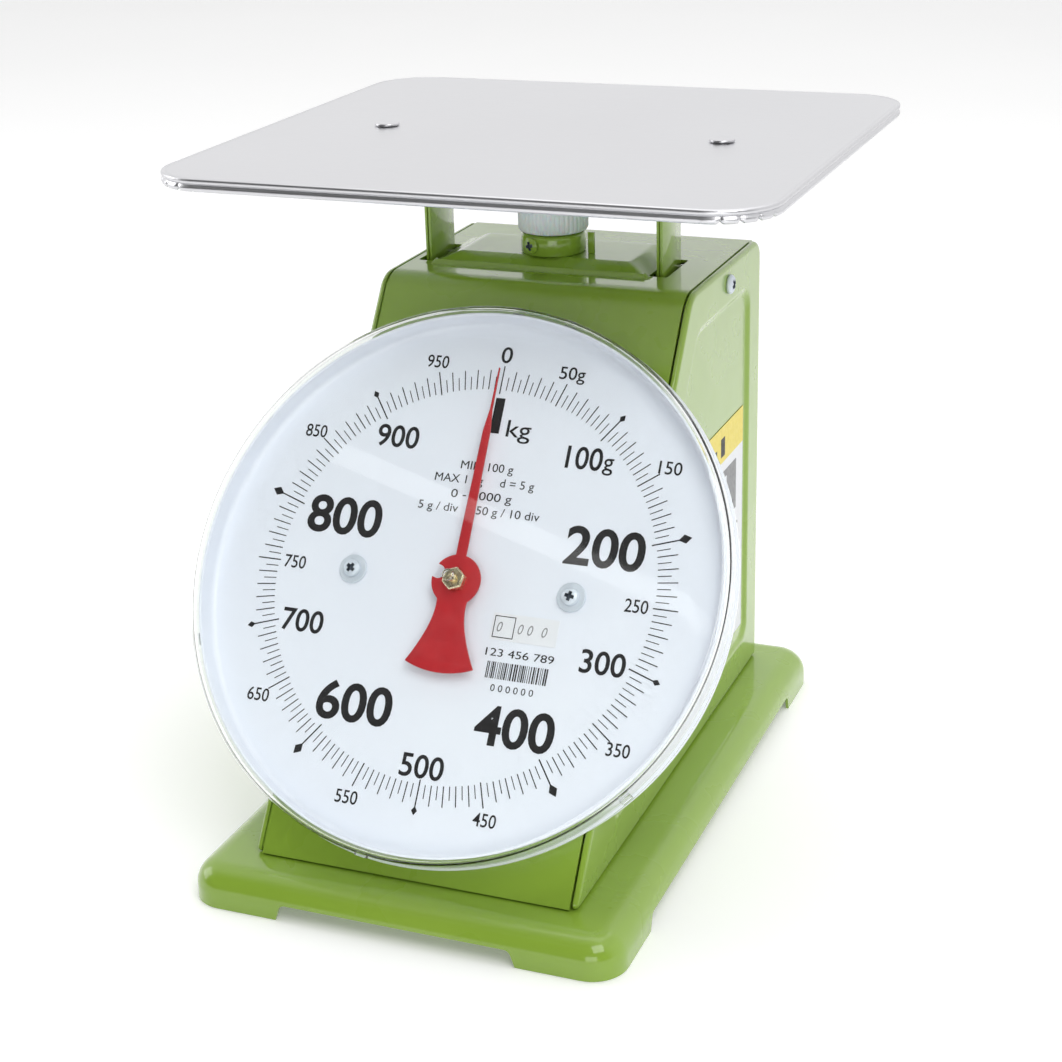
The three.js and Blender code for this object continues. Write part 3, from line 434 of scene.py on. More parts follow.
ENAMEL = white_enamel()
CLEAR = clear_cover()
MILKY = milky_knob()
RED = red_lacquer()
BLACK = flat_ink("black_ink", (0.004, 0.003, 0.004), (0.01, 0.008, 0.01))
YELLOW = flat_ink("yellow_print", (0.80, 0.66, 0.12), (0.86, 0.72, 0.16))
PAPER = flat_ink("label_paper", (0.79, 0.8, 0.84), (0.83, 0.84, 0.88))
# dark colour for the screws' cross recesses: painted shade, not a finish the zinc has
RECESS_PAINTED_SHADE = flat_ink("recess_painted_shade", (0.045, 0.06, 0.08), (0.09, 0.11, 0.14))
GREY = flat_ink("grey_print", (0.22, 0.22, 0.23), (0.3, 0.3, 0.31))
print("plastics:", ENAMEL.name, CLEAR.name, MILKY.name, RED.name)

# %% [markdown]
# `dress` finishes a piece: it gets its material, smooth shading and the body it moves with, and the
# plain mechanical nodes that it stands for are hidden.

# %% Dress a piece
def dress(made, finish, body, stands_for=(), angle=32):
    made.data.materials.clear()
    made.data.materials.append(finish)
    smooth(made, angle)
    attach(made, body)
    if stands_for:
        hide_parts(*stands_for)
    print(made.name, "faces", len(made.data.polygons))
    return made


# %% [markdown]
# The base is one pressed tray. A tray could be a box with bevelled edges, but a press draws the
# sheet over a round-nosed tool, so the section is lofted: ceiling, inner wall, rim, outer wall,
# rounded shoulder, top. Two long cutters leave the four corner feet.

# %% Base tray
BASE_SHEET = 1.1 * MM
BASE_EDGE = 7.5 * MM
BASE_CORNER = 12 * MM
FOOT = 33 * MM
NOTCH = 6 * MM
tray_size = tray_high - tray_low
tray_centre = (tray_low + tray_high) / 2


def tray_rings():
    outline = rectangle(tray_size.x, tray_size.y)
    wall = [(BASE_SHEET + BASE_EDGE, tray_high.z - BASE_SHEET)]
    for k in range(7):
        turn = math.pi / 2 * k / 6
        wall.append(
            (
                BASE_SHEET + BASE_EDGE * (1 - math.sin(turn)),
                tray_high.z - BASE_SHEET - BASE_EDGE * (1 - math.cos(turn)),
            )
        )
    wall += [(BASE_SHEET, 0.3 * MM), (BASE_SHEET * 0.75, 0), (BASE_SHEET * 0.25, 0), (0, 0.3 * MM)]
    for k in range(11):
        turn = math.pi / 2 * k / 10
        wall.append(
            (
                (BASE_EDGE + BASE_SHEET) * (1 - math.cos(turn)),
                tray_high.z - (BASE_EDGE + BASE_SHEET) * (1 - math.sin(turn)),
            )
        )
    wall.append((BASE_EDGE + BASE_SHEET + 1 * MM, tray_high.z))
    rings = []
    for inset, height in wall:
        corners = inset_corners(outline, inset)
        radius = max(BASE_CORNER - inset, 1.5 * MM)
        rings.append(flat_ring(corners, [radius] * 4, 14, tray_centre, height))
    return rings


def notch_cutter(name, length, along_x):
    half = length / 2 - FOOT
    corners = [
        Vector((-half, -3 * MM)),
        Vector((half, -3 * MM)),
        Vector((half - 3 * MM, NOTCH)),
        Vector((3 * MM - half, NOTCH)),
    ]
    outline = corner_ring(corners, [0.2 * MM, 0.2 * MM, 2.5 * MM, 2.5 * MM], 8)
    reach = 0.3
    rings = []
    for end in (-reach, reach):
        spots = [(end, p.x) if along_x else (p.x, end) for p in outline]
        rings.append([tray_centre + Vector((*spot, p.y - tray_centre.z)) for spot, p in zip(spots, outline)])
    return loft(name, rings)


tray = loft("tray_pressed", tray_rings())
carve(tray, notch_cutter("notch_a", tray_size.x, False), notch_cutter("notch_b", tray_size.y, True))
dress(tray, GREEN, "body", ["base_tray"])

# %% [markdown]
# The case front and top are one bent sheet with a raised pad pressed into the top. The sheet is a
# grid that follows the bent section; the pad is a height added to the grid, so its slopes blend as
# pressed steel does. Thickness and the two post slots come afterwards.

# %% Wrap sheet
CASE_SHEET = 1.1 * MM
SEAM = 2.8 * MM
FRONT_BEND = 12 * MM
BACK_BEND = 5 * MM
PAD_HALF = 41 * MM
PAD_HEIGHT = 3.4 * MM
PAD_SLOPE = 8.6 * MM
PAD_DEPTH = 44 * MM
LIP_HEIGHT = 1.1 * MM
GROOVE_DEPTH = 0.7 * MM
BACK_TURN = 12 * MM
pad_front = load_y - 16 * MM


def bend_points(before, corner, after, radius, steps):
    back = (before - corner).normalized()
    ahead = (after - corner).normalized()
    half = back.angle(ahead) / 2
    centre = corner + (back + ahead).normalized() * (radius / math.sin(half))
    start = corner + back * (radius / math.tan(half)) - centre
    sweep = -(math.pi - 2 * half)
    return [centre + spun(start, sweep * k / steps) for k in range(steps + 1)]


def wrap_section():
    foot = Vector((case_front + 0.4 * MM, case_foot + 0.5 * MM))
    shoulder = Vector((case_shoulder, case_top))
    heel = Vector((case_back, case_top))
    end = Vector((case_back, case_top - BACK_TURN))
    front_bend = bend_points(foot, shoulder, heel, FRONT_BEND, 16)
    back_bend = bend_points(shoulder, heel, end, BACK_BEND, 10)
    section = [foot + (front_bend[0] - foot) * k / 8 for k in range(8)] + front_bend
    flat_from, flat_to = front_bend[-1], back_bend[0]
    stops = [(flat_from.x, 3), (pad_front - 2 * MM, 48)]
    stops += [(pad_front + 11 * MM, 36), (pad_front + 46 * MM, 14)]
    for (start, rows), finish in zip(stops, [stop for stop, _ in stops[1:]] + [flat_to.x]):
        section += [Vector((start + (finish - start) * k / rows, case_top)) for k in range(1, rows + 1)]
    return section[:-1] + back_bend + [end]


def pad_height(x, y):
    clip = 12 * MM
    edges = [
        (y - pad_front),
        (PAD_HALF - abs(x)),
        (pad_front + PAD_DEPTH - y),
        ((PAD_HALF - clip - abs(x)) + (pad_front + PAD_DEPTH - y)) / math.sqrt(2) + 5 * MM,
    ]
    inside = min(edges)
    share = min(max(inside / PAD_SLOPE, 0), 1)
    eased = share * share * (3 - 2 * share)
    rise = PAD_HEIGHT * (0.75 * share + 0.25 * eased)
    if y > pad_front + 3 * MM or abs(x) > PAD_HALF + 1 * MM:
        return rise
    lip = LIP_HEIGHT * math.exp(-(((inside - 1.0 * MM) / (0.7 * MM)) ** 2))
    groove = GROOVE_DEPTH * math.exp(-(((inside + 0.5 * MM) / (0.45 * MM)) ** 2))
    return rise + lip - groove


def wrap_sheet():
    section = wrap_section()
    half = case_half - SEAM
    columns = 112
    points = []
    for point in section:
        for i in range(columns + 1):
            x = case_middle - half + 2 * half * i / columns
            flat = abs(point.y - case_top) < 1e-6
            lift = pad_height(x, point.x) if flat else 0
            points.append(Vector((x, point.x, point.y + lift)))
    faces = []
    for row in range(len(section) - 1):
        for i in range(columns):
            a = row * (columns + 1) + i
            faces.append((a, a + 1, a + columns + 2, a + columns + 1))
    sheet = new_object("case_sheet", points, faces)
    return sheet


def slot_cutter(side):
    low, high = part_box("post_left" if side < 0 else "post_right")
    centre = (low + high) / 2
    size = high - low
    corners = rectangle(size.x + 4.4 * MM, size.y + 4.4 * MM)
    return loft(
        f"slot_{side}",
        [flat_ring(corners, [1.2 * MM] * 4, 6, centre, case_top + step) for step in (-0.01, 0.02)],
    )


sheet = wrap_sheet()
thick = sheet.modifiers.new("thick", "SOLIDIFY")
thick.thickness = CASE_SHEET
thick.offset = -1
settle(sheet)
outward(sheet)
rod_low, rod_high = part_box("zero_rod")
rod_centre = (rod_low + rod_high) / 2
rod_place = Matrix.Translation((rod_centre.x, rod_centre.y, 0))
rod_hole = turned("rod_hole", [(3 * MM, case_top - 0.01), (3 * MM, case_top + 0.02)], rod_place, 32)
shaft_hole = turned("shaft_hole", [(4 * MM, -0.01), (4 * MM, 0.008)], DIAL, 32)
carve(sheet, slot_cutter(-1), slot_cutter(1), rod_hole, shaft_hole)
dress(sheet, GREEN, "body", ["wrap_sheet"], angle=28)

# %% [markdown]
# Each side is a pressed panel: a rounded edge that wraps inwards, a flat border, and a shallow
# field pressed into it. Rings of the same outline, moved inwards step by step, give all three.

# %% Side panels
FIELD_INSET = 15.5 * MM
FIELD_DEPTH = 1.3 * MM
LIP = 2.0 * MM
SIDE_EDGE = 1.6 * MM


def side_panel(side):
    corners = [
        Vector((case_front, case_foot)),
        Vector((case_back, case_foot)),
        Vector((case_back, case_top)),
        Vector((case_shoulder, case_top)),
    ]
    outline_radii = [1.5 * MM, 1.5 * MM, 7 * MM, 11 * MM]
    field_radii = [7 * MM, 7 * MM, 9 * MM, 11 * MM]
    steps = [(CASE_SHEET, LIP, 0), (0.2 * MM, LIP, 0), (0, LIP - 0.2 * MM, 0)]
    for k in range(7):
        turn = math.pi / 2 * k / 6
        steps.append((SIDE_EDGE * (1 - math.cos(turn)), SIDE_EDGE * (1 - math.sin(turn)), 0))
    steps += [(SIDE_EDGE + 0.8 * MM, 0, 0), (FIELD_INSET - 2.6 * MM, 0, 0.8)]
    for k in range(9):
        share = k / 8
        eased = share * share * (3 - 2 * share)
        steps.append((FIELD_INSET - 2 * MM + 3.2 * MM * share, FIELD_DEPTH * eased, 1))
    steps += [(FIELD_INSET + 2 * MM, FIELD_DEPTH, 1)]
    rings = []
    for inset, depth, blend in steps:
        moved = inset_corners(corners, inset)
        radii = []
        for outline_radius, field_radius in zip(outline_radii, field_radii):
            near = max(outline_radius - inset, 0.6 * MM)
            radii.append(near * (1 - blend) + field_radius * blend)
        x = side * (case_half - depth) + case_middle
        rings.append([Vector((x, p.x, p.y)) for p in corner_ring(moved, radii, 12)])
    back_ring = [Vector((case_middle + side * (case_half - LIP), p.y, p.z)) for p in rings[0]]
    floor_x = case_middle + side * (case_half - FIELD_DEPTH - CASE_SHEET)
    inner_edge = [Vector((floor_x, p.y, p.z)) for p in back_ring]
    return loft(f"side_shell_{'right' if side > 0 else 'left'}", [inner_edge] + rings)


for side, word in ((-1, "left"), (1, "right")):
    panel = side_panel(side)
    dress(panel, GREEN, "body", [f"side_panel_{word}"], angle=30)

# %% [markdown]
# Cross-head screws hold the case and the dial. A head could be a squashed sphere, but that has no rim
# and no recess: here a dome is turned and a tapered cross is cut into it. One function makes them
# all, at any size and facing any way; the faces inside the recess get a dark colour as painted shade.

# %% Cross-head screws
SIDE_HEAD = (3.5 * MM, 2.1 * MM)  # radius and height
COLLAR_HEAD = (3.0 * MM, 1.5 * MM)
DIAL_HEAD = (3.05 * MM, 1.9 * MM)


def facing(centre, direction, spin=0.3):
    turn = Vector(direction).to_track_quat("Z", "Y").to_matrix().to_4x4()
    return Matrix.Translation(centre) @ turn @ Matrix.Rotation(spin, 4, "Z")


def cross_cutter(name, place, radius, height):
    arms = []
    for turn in (0, math.pi / 2):
        spun = place @ Matrix.Rotation(turn, 4, "Z")
        wide, thin = radius * 0.66, radius * 0.2
        rings = []
        for share, level in ((0.6, height * 0.12), (1.0, height * 1.6)):
            half = wide * share
            ring = [(-half, -thin), (half, -thin), (half, thin), (-half, thin)]
            rings.append([spun @ Vector((x, y, level)) for x, y in ring])
        arms.append(loft(f"{name}_{int(turn)}", rings))
    return arms


def cross_screw(name, place, radius, height):
    dome = [(radius * 0.96, 0), (radius, height * 0.12), (radius, height * 0.3)]
    for k in range(1, 8):
        turn = math.pi / 2 * k / 8
        dome.append((radius * math.cos(turn) ** 0.75, height * (0.3 + 0.7 * math.sin(turn))))
    dome.append((radius * 0.08, height))
    head = turned(name, dome, place, 40)
    return carve(head, *cross_cutter(name + "_cross", place, radius, height))


def shade_recess(head, place, radius, height, finish):
    head.data.materials.append(finish)
    to_screw = place.inverted()
    shaded = 0
    for polygon in head.data.polygons:
        spot = to_screw @ polygon.center
        reach = min(math.hypot(spot.x, spot.y) / radius, 1)
        crown = height * (0.3 + 0.7 * math.sin(math.acos(reach)))
        # faces deep in the cross take the dark colour as painted shade
        if reach < 0.7 and 0.05 * height < spot.z < crown - 0.14 * height:
            polygon.material_index = 1
            shaded += 1
    print(head.name, "recess faces", shaded)


for side, word in ((-1, "left"), (1, "right")):
    low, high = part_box(f"side_screw_{word}")
    spot = Vector((case_middle + side * (case_half + 0.1 * MM), (low.y + high.y) / 2, (low.z + high.z) / 2))
    place = facing(spot, (side, 0, 0), 0.5)
    head = cross_screw(f"side_head_{word}", place, *SIDE_HEAD)
    dress(head, ZINC, "body", [f"side_screw_{word}"])
    shade_recess(head, place, *SIDE_HEAD, RECESS_PAINTED_SHADE)

low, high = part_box("collar_screw")
collar_low, collar_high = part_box("knob_collar")
collar_centre = (collar_low + collar_high) / 2
screw_way = ((low + high) / 2 - collar_centre)
screw_way.z = 0
screw_way.normalize()
collar_radius = (collar_high.x - collar_low.x) / 2
spot = collar_centre + screw_way * (collar_radius + 0.05 * MM)
place = facing(spot, screw_way, 0.25)
head = cross_screw("collar_head", place, *COLLAR_HEAD)
dress(head, GREEN, "body", ["collar_screw"])
shade_recess(head, place, *COLLAR_HEAD, RECESS_PAINTED_SHADE)

# %% [markdown]
# The zero knob is a ribbed moulding on a painted steel collar. The ribs could be cut one by one, but a
# wave in the radius is smoother and can fade out at the rounded rims, as a moulded knob's do.

# %% Knob, collar and stop
knob_low, knob_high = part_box("zero_knob")
knob_centre = (knob_low + knob_high) / 2
KNOB_RIBS = 44
RIB_DEPTH = 0.3 * MM


def ribbed_knob():
    radius = (knob_high.x - knob_low.x) / 2
    levels = [(-1.4, 0.0, 0.0), (-0.5, 0.25, 0.2), (0, 1.1, 1.0), (0, 6, 1.0)]
    height = (knob_high.z - knob_low.z) / MM
    levels += [(0, height - 1.6, 1.0), (-0.45, height - 0.5, 0.4)]
    levels += [(-1.6, height, 0.0), (-6, height + 0.001, 0.0)]
    rings = []
    sides = KNOB_RIBS * 8
    for inset, rise, depth in levels:
        ring = []
        for i in range(sides):
            turn = 2 * math.pi * i / sides
            wave = 0.5 + 0.5 * math.cos(turn * KNOB_RIBS)
            reach = radius + inset * MM - RIB_DEPTH * depth * wave**2
            x, y = reach * math.cos(turn), reach * math.sin(turn)
            ring.append(Vector((knob_centre.x + x, knob_centre.y + y, knob_low.z + rise * MM)))
        rings.append(ring)
    return loft("ribbed_knob", rings)


dress(ribbed_knob(), MILKY, "zero_knob", ["zero_knob"], angle=50)
collar_height = collar_high.z - collar_low.z
collar_bore = 4 * MM
collar_profile = [
    (collar_bore, 0),
    (collar_radius - 0.3 * MM, 0),
    (collar_radius, 0.4 * MM),
    (collar_radius, collar_height - 1.2 * MM),
    (collar_radius - 0.4 * MM, collar_height - 0.4 * MM),
    (collar_radius - 1.2 * MM, collar_height),
    (collar_bore, collar_height),
]
collar_place = Matrix.Translation((collar_centre.x, collar_centre.y, collar_low.z - 0.2 * MM))
collar = turned("collar_ring", collar_profile, collar_place, 72, closed=True)
dress(collar, GREEN, "body", ["knob_collar"], angle=40)


def plate_piece(name, low, high, edge):
    outline = rectangle(high.x - low.x, high.y - low.y)
    centre = (low + high) / 2
    radius = min(high.x - low.x, high.y - low.y) * 0.3
    plate = loft(name, [flat_ring(outline, [radius] * 4, 5, centre, z) for z in (low.z, high.z)])
    return round_edges(plate, edge, 2, 50)


low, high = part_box("turn_stop")
stop_tab = plate_piece("stop_tab", low - Vector((0, 0, 0.3 * MM)), high, 0.25 * MM)
dress(stop_tab, GREEN, "body", ["turn_stop"])

# %% [markdown]
# The two posts are strips folded double, so their narrow faces show a dark line where the two layers
# meet. A bevelled box would lose that line, so the section is drawn with the groove and swept up.

# %% Posts
def folded_post(word):
    low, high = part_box(f"post_{word}")
    centre = (low + high) / 2
    x, y = (high.x - low.x) / 2, (high.y - low.y) / 2
    groove, deep, soft = 0.16 * MM, 0.9 * MM, 0.35 * MM
    half = [(groove, -y + deep), (groove, -y + soft), (groove + soft * 0.4, -y)]
    half += [(x - soft, -y), (x - soft * 0.3, -y + soft * 0.3), (x, -y + soft)]
    right = half + [(px, -py) for px, py in reversed(half)]
    section = right + [(-px, -py) for px, py in right]
    rings = [[Vector((centre.x + px, centre.y + py, z)) for px, py in section] for z in (low.z, high.z)]
    return loft(f"folded_post_{word}", rings)


for word in ("left", "right"):
    dress(folded_post(word), GREEN, "platform", [f"post_{word}"], angle=40)

# %% [markdown]
# The platter is a stainless sheet with a rolled hem. Along the straight sides the hem is plain; at
# the corners the sheet has to gather, and shows small pleats. The rings carry the section of the
# hem, and at the corners a notch function pulls the lower rings in. Two flat rivets hold the plate
# to its bracket; each is one turned piece, from the head on top to the button below.

# %% Platter
PLATTER_CORNER = 21 * MM
PLEATS = 5
platter_centre = (plate_low + plate_high) / 2
CORNER_STEPS = 61


def pleat(share):
    phase = share * PLEATS % 1.0
    edge = min(phase, 1 - phase)
    return math.exp(-((edge / 0.09) ** 2)) * math.sin(math.pi * min(max(share, 0), 1)) ** 0.4


def platter_ring(inset, drop, gather):
    width, depth = plate_high.x - plate_low.x, plate_high.y - plate_low.y
    corners = inset_corners(rectangle(width, depth), inset)
    radius = PLATTER_CORNER - inset
    ring = corner_ring(corners, [radius] * 4, CORNER_STEPS)
    points = []
    for i, point in enumerate(ring):
        share = (i % CORNER_STEPS) / (CORNER_STEPS - 1)
        notch = pleat(share) * gather
        corner = corners[i // CORNER_STEPS]
        centre = corner - Vector((math.copysign(radius, corner.x), math.copysign(radius, corner.y)))
        arm = (point - centre).normalized()
        moved = point - arm * 0.9 * MM * notch
        height = plate_high.z - drop + 1.0 * MM * notch * (1 if drop > 3.4 * MM else 0)
        points.append(Vector((platter_centre.x + moved.x, platter_centre.y + moved.y, height)))
    return points


hem = [
    (3.6, 0, 0), (2.6, 0, 0), (1.75, 0, 0), (1.5, 0.1, 0), (1.3, 0.16, 0), (1.0, 0.02, 0),
    (0.55, -0.1, 0), (0.2, 0.08, 0), (0.02, 0.5, 0.05), (0, 0.95, 0.1), (0.12, 1.35, 0.15),
    (0.55, 1.65, 0.2), (0.68, 1.95, 0.3), (0.5, 2.3, 0.45), (0.15, 2.6, 0.6), (0.05, 3.1, 0.8),
    (0.12, 3.7, 1), (0.4, 4.15, 1), (0.85, 4.35, 1), (1.3, 4.15, 1), (1.5, 3.7, 0.9),
    (1.6, 3.0, 0.7), (1.8, 1.9, 0.2), (2.4, 0.95, 0),
]
platter = loft("rolled_platter", [platter_ring(a * MM, b * MM, c) for a, b, c in hem])
dress(platter, STAINLESS, "platform", ["platter"], angle=45)


def platter_rivet(word):
    low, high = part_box(f"platter_rivet_{word}")
    under = low.z - high.z + 0.3 * MM
    head = [(2.0, -0.9), (4.1, -0.9), (4.5, -0.78), (4.5, -0.35), (4.35, -0.12), (3.7, 0.0), (0.05, 0.0)]
    foot = [(0.05, 0), (2.9, 0), (3.4, 0.4), (3.4, 0.8), (2.0, 0.85)]
    section = [(r * MM, under + z * MM) for r, z in foot] + [(r * MM, z * MM) for r, z in head]
    place = Matrix.Translation(((low.x + high.x) / 2, (low.y + high.y) / 2, high.z))
    return turned(f"rivet_{word}", section, place, 48)


for word in ("left", "right"):
    dress(platter_rivet(word), STAINLESS, "platform", [f"platter_rivet_{word}"], angle=30)

# %% [markdown]
# The dial pan is a shallow dish. Three cylinders could be joined for it, but a moulding has one skin,
# so its face, inner wall, rolled rim and outer skirt are one turned section with small fillets.

# %% Dial pan
DIAL_FACE = 9.3 * MM
PAN_RADIUS = 92.6 * MM
PAN_RIM = 17.8 * MM


def pan_profile():
    inner = PAN_RADIUS - 1.0 * MM
    profile = [(4 * MM, DIAL_FACE), (inner - 2 * MM, DIAL_FACE)]
    profile += quarter_arc(inner - 2 * MM, DIAL_FACE, inner, DIAL_FACE + 2 * MM, 6, False)
    profile += [(inner, PAN_RIM - 0.4 * MM), (inner + 0.3 * MM, PAN_RIM), (PAN_RADIUS - 0.3 * MM, PAN_RIM)]
    profile += [(PAN_RADIUS, PAN_RIM - 0.4 * MM), (PAN_RADIUS, 0.4 * MM), (inner, 0.4 * MM)]
    profile += [(inner, DIAL_FACE - 1.2 * MM), (4 * MM, DIAL_FACE - 1.2 * MM)]
    return profile


pan = turned("dial_dish", pan_profile(), DIAL, 180, closed=True)
dress(pan, ENAMEL, "body", ["dial_pan"])

# %% [markdown]
# The printing could be painted with a picture, but a thin layer of real mesh stays sharp from close
# by. `Print` collects flat outlines in dial coordinates, so all the marks of one kind are one mesh.

# %% Printing tools
INK_LOW = DIAL_FACE + 0.02 * MM
INK_HIGH = DIAL_FACE + 0.08 * MM


class Print:
    def __init__(self):
        self.points = []
        self.faces = []

    def outline(self, corners, place=DIAL, low=INK_LOW, high=INK_HIGH):
        start = len(self.points)
        count = len(corners)
        for level in (low, high):
            self.points += [place @ Vector((x * MM, y * MM, level)) for x, y in corners]
        self.faces.append(tuple(start + i for i in reversed(range(count))))
        self.faces.append(tuple(start + count + i for i in range(count)))
        for i in range(count):
            j = (i + 1) % count
            self.faces.append((start + i, start + j, start + count + j, start + count + i))

    def bar(self, x, y, width, height, **levels):
        self.outline([(x, y), (x + width, y), (x + width, y + height), (x, y + height)], **levels)

    def spoke(self, grams, inner, outer, half_inner, half_outer=None):
        turn = 2 * math.pi * grams / 1000
        half_outer = half_inner if half_outer is None else half_outer
        across = Vector((math.cos(turn), -math.sin(turn)))
        along = Vector((math.sin(turn), math.cos(turn)))
        corners = [along * inner - across * half_inner, along * inner + across * half_inner]
        corners += [along * outer + across * half_outer, along * outer - across * half_outer]
        self.outline([tuple(corner) for corner in corners])

    def made(self, name):
        return outward(new_object(name, self.points, self.faces))


print("printing tools ready")

# %% [markdown]
# A thousand grams go once round, one division for each five grams. The tens are longer, the
# fifties longer again, and each hundred is a line that ends in a diamond, large on the even ones.

# %% Divisions
DIVISION = 5
ticks = Print()
diamonds = Print()
for grams in range(0, 1000, DIVISION):
    if grams == 0:
        ticks.spoke(grams, 66.5, 76.4, 0.2)
    elif grams % 100 == 0:
        ticks.spoke(grams, 66.4, 76.0, 0.22)
        large = grams % 200 == 0
        tip, half_length, half_width = (77.7, 2.3, 1.55) if large else (76.7, 1.5, 1.05)
        turn = 2 * math.pi * grams / 1000
        across = Vector((math.cos(turn), -math.sin(turn)))
        along = Vector((math.sin(turn), math.cos(turn)))
        shape = [along * (tip - half_length), along * tip + across * half_width]
        shape += [along * (tip + half_length), along * tip - across * half_width]
        diamonds.outline([tuple(corner) for corner in shape])
    elif grams % 50 == 0:
        ticks.spoke(grams, 67.4, 75.9, 0.2)
    elif grams % 10 == 0:
        ticks.spoke(grams, 67.9, 74.8, 0.17)
    else:
        ticks.spoke(grams, 67.9, 72.5, 0.14)
dress(ticks.made("dial_divisions"), BLACK, "body")
dress(diamonds.made("dial_diamonds"), BLACK, "body")

# %% [markdown]
# Numbers are Blender text objects turned into mesh. A text's own size says little about how tall its
# digits are, so one digit is measured first and every string is scaled from that.

# %% Numbers
def text_mesh(body, weight, slant=0.0):
    curve = bpy.data.curves.new("letters", "FONT")
    curve.body = body
    curve.size = 1
    curve.offset = weight
    curve.shear = slant
    curve.resolution_u = 5
    curve.extrude = 0.5
    holder = bpy.data.objects.new("letters", curve)
    bpy.context.scene.collection.objects.link(holder)
    bpy.context.view_layer.update()
    mesh = bpy.data.meshes.new_from_object(holder.evaluated_get(bpy.context.evaluated_depsgraph_get()))
    points = [vertex.co.copy() for vertex in mesh.vertices]
    faces = [tuple(polygon.vertices) for polygon in mesh.polygons]
    bpy.data.objects.remove(holder)
    return points, faces


zero_points, _ = text_mesh("0", 0)
DIGIT_LOW = min(point.y for point in zero_points)
DIGIT_HEIGHT = max(point.y for point in zero_points) - DIGIT_LOW


def write(target, body, centre, height, width=None, weight=0.0, slant=0.0, **levels):
    place = levels.get("place", DIAL)
    low, high = levels.get("low", INK_LOW), levels.get("high", INK_HIGH)
    points, faces = text_mesh(body, weight, slant)
    left = min(point.x for point in points)
    right = max(point.x for point in points)
    scale_y = height / (DIGIT_HEIGHT + 2 * weight)
    scale_x = width / (right - left) if width else scale_y
    start = len(target.points)
    for point in points:
        x = centre[0] + (point.x - (left + right) / 2) * scale_x
        y = centre[1] + (point.y - DIGIT_LOW - DIGIT_HEIGHT / 2) * scale_y
        target.points.append(place @ Vector((x * MM, y * MM, high if point.z > 0 else low)))
    target.faces += [tuple(start + i for i in face) for face in faces]


numbers = Print()
LARGE = {200: (47.7, 17.6), 400: (28.8, -45.4), 600: (-28.9, -45.0), 800: (-46.9, 18.0)}
for grams, centre in LARGE.items():
    write(numbers, str(grams), centre, 13.4, 27.6, weight=0.022)
MEDIUM = {300: (54.2, -20.0), 500: (-0.4, -62.2), 700: (-54.2, -19.9), 900: (-33.6, 48.0)}
for grams, centre in MEDIUM.items():
    write(numbers, str(grams), centre, 7.9, 15.5, weight=0.012)
write(numbers, "100", (34.6, 47.2), 7.9, 12.8, weight=0.01)
write(numbers, "g", (43.2, 47.0), 6.0, weight=0.004)
write(numbers, "0", (0, 80.4), 5.8, 4.0, weight=0.008)
write(numbers, "1", (0.9, 58.8), 12.8, 3.4, weight=0.0)
write(numbers, "kg", (9.6, 54.8), 6.0, 8.8, weight=0.002)
SMALL_RADIUS = 79.9
for grams in range(50, 1000, 100):
    turn = 2 * math.pi * grams / 1000
    radius = 61.8 if grams in (250, 750) else SMALL_RADIUS
    centre = (radius * math.sin(turn), radius * math.cos(turn))
    body = "50g" if grams == 50 else str(grams)
    write(numbers, body, centre, 4.5, 9.2 if grams == 50 else 8.0, weight=0.006)
numbers_made = new_object("dial_numbers", numbers.points, numbers.faces)
dress(numbers_made, BLACK, "body")

# %% [markdown]
# Small print: four generic lines with the range and the division, a white paper slip with a framed
# square, and a block of bars. None of it is a real mark.

# %% Small print
small = Print()
LINES = [
    ("MIN 100 g", 40.6, 19),
    ("MAX 1 kg     d = 5 g", 35.6, 36),
    ("0 - 1000 g", 30.4, 22),
    ("5 g / div     50 g / 10 div", 25.4, 44),
]
for body, height, width in LINES:
    write(small, body, (1.0, height), 2.9, width)
bar_x = 15.0
while bar_x < 36.4:
    bar_width = random.choice((0.22, 0.34, 0.5))
    small.bar(bar_x, -30.0, bar_width, 5.6)
    bar_x += bar_width + random.choice((0.26, 0.38, 0.52))
write(small, "123 456 789", (25.6, -21.3), 2.6, 24)
write(small, "0 0 0 0 0 0", (25.2, -33.0), 2.3, 15)
FRAME_X, FRAME_Y, FRAME_SIDE, FRAME_LINE = 14.6, -16.4, 7.4, 0.3
PAPER_HIGH = DIAL_FACE + 0.12 * MM
raised = {"low": PAPER_HIGH - 0.01 * MM, "high": PAPER_HIGH + 0.03 * MM}
small.bar(FRAME_X, FRAME_Y, FRAME_SIDE, FRAME_LINE, **raised)
small.bar(FRAME_X, FRAME_Y + FRAME_SIDE - FRAME_LINE, FRAME_SIDE, FRAME_LINE, **raised)
small.bar(FRAME_X, FRAME_Y, FRAME_LINE, FRAME_SIDE, **raised)
small.bar(FRAME_X + FRAME_SIDE - FRAME_LINE, FRAME_Y, FRAME_LINE, FRAME_SIDE, **raised)
dress(small.made("dial_small_print"), BLACK, "body")
slip = Print()
slip_corners = [(13.9, -17.2), (37.2, -17.2), (37.2, -8.1), (13.9, -8.1)]
slip.outline(slip_corners, low=DIAL_FACE + 0.005 * MM, high=PAPER_HIGH)
dress(slip.made("dial_slip"), PAPER, "body")
marks = Print()
for offset in (2.2, 9.6, 13.0, 18.0):
    write(marks, "0", (FRAME_X + offset, -12.7), 3.4, 1.9, weight=0.0, slant=0.2, **raised)
dress(marks.made("dial_slip_marks"), GREY, "body")

# %% [markdown]
# Two cross-head screws with washers hold the dial. The washers are turned rings that stand a little
# proud of the face, so each throws its own small shadow.

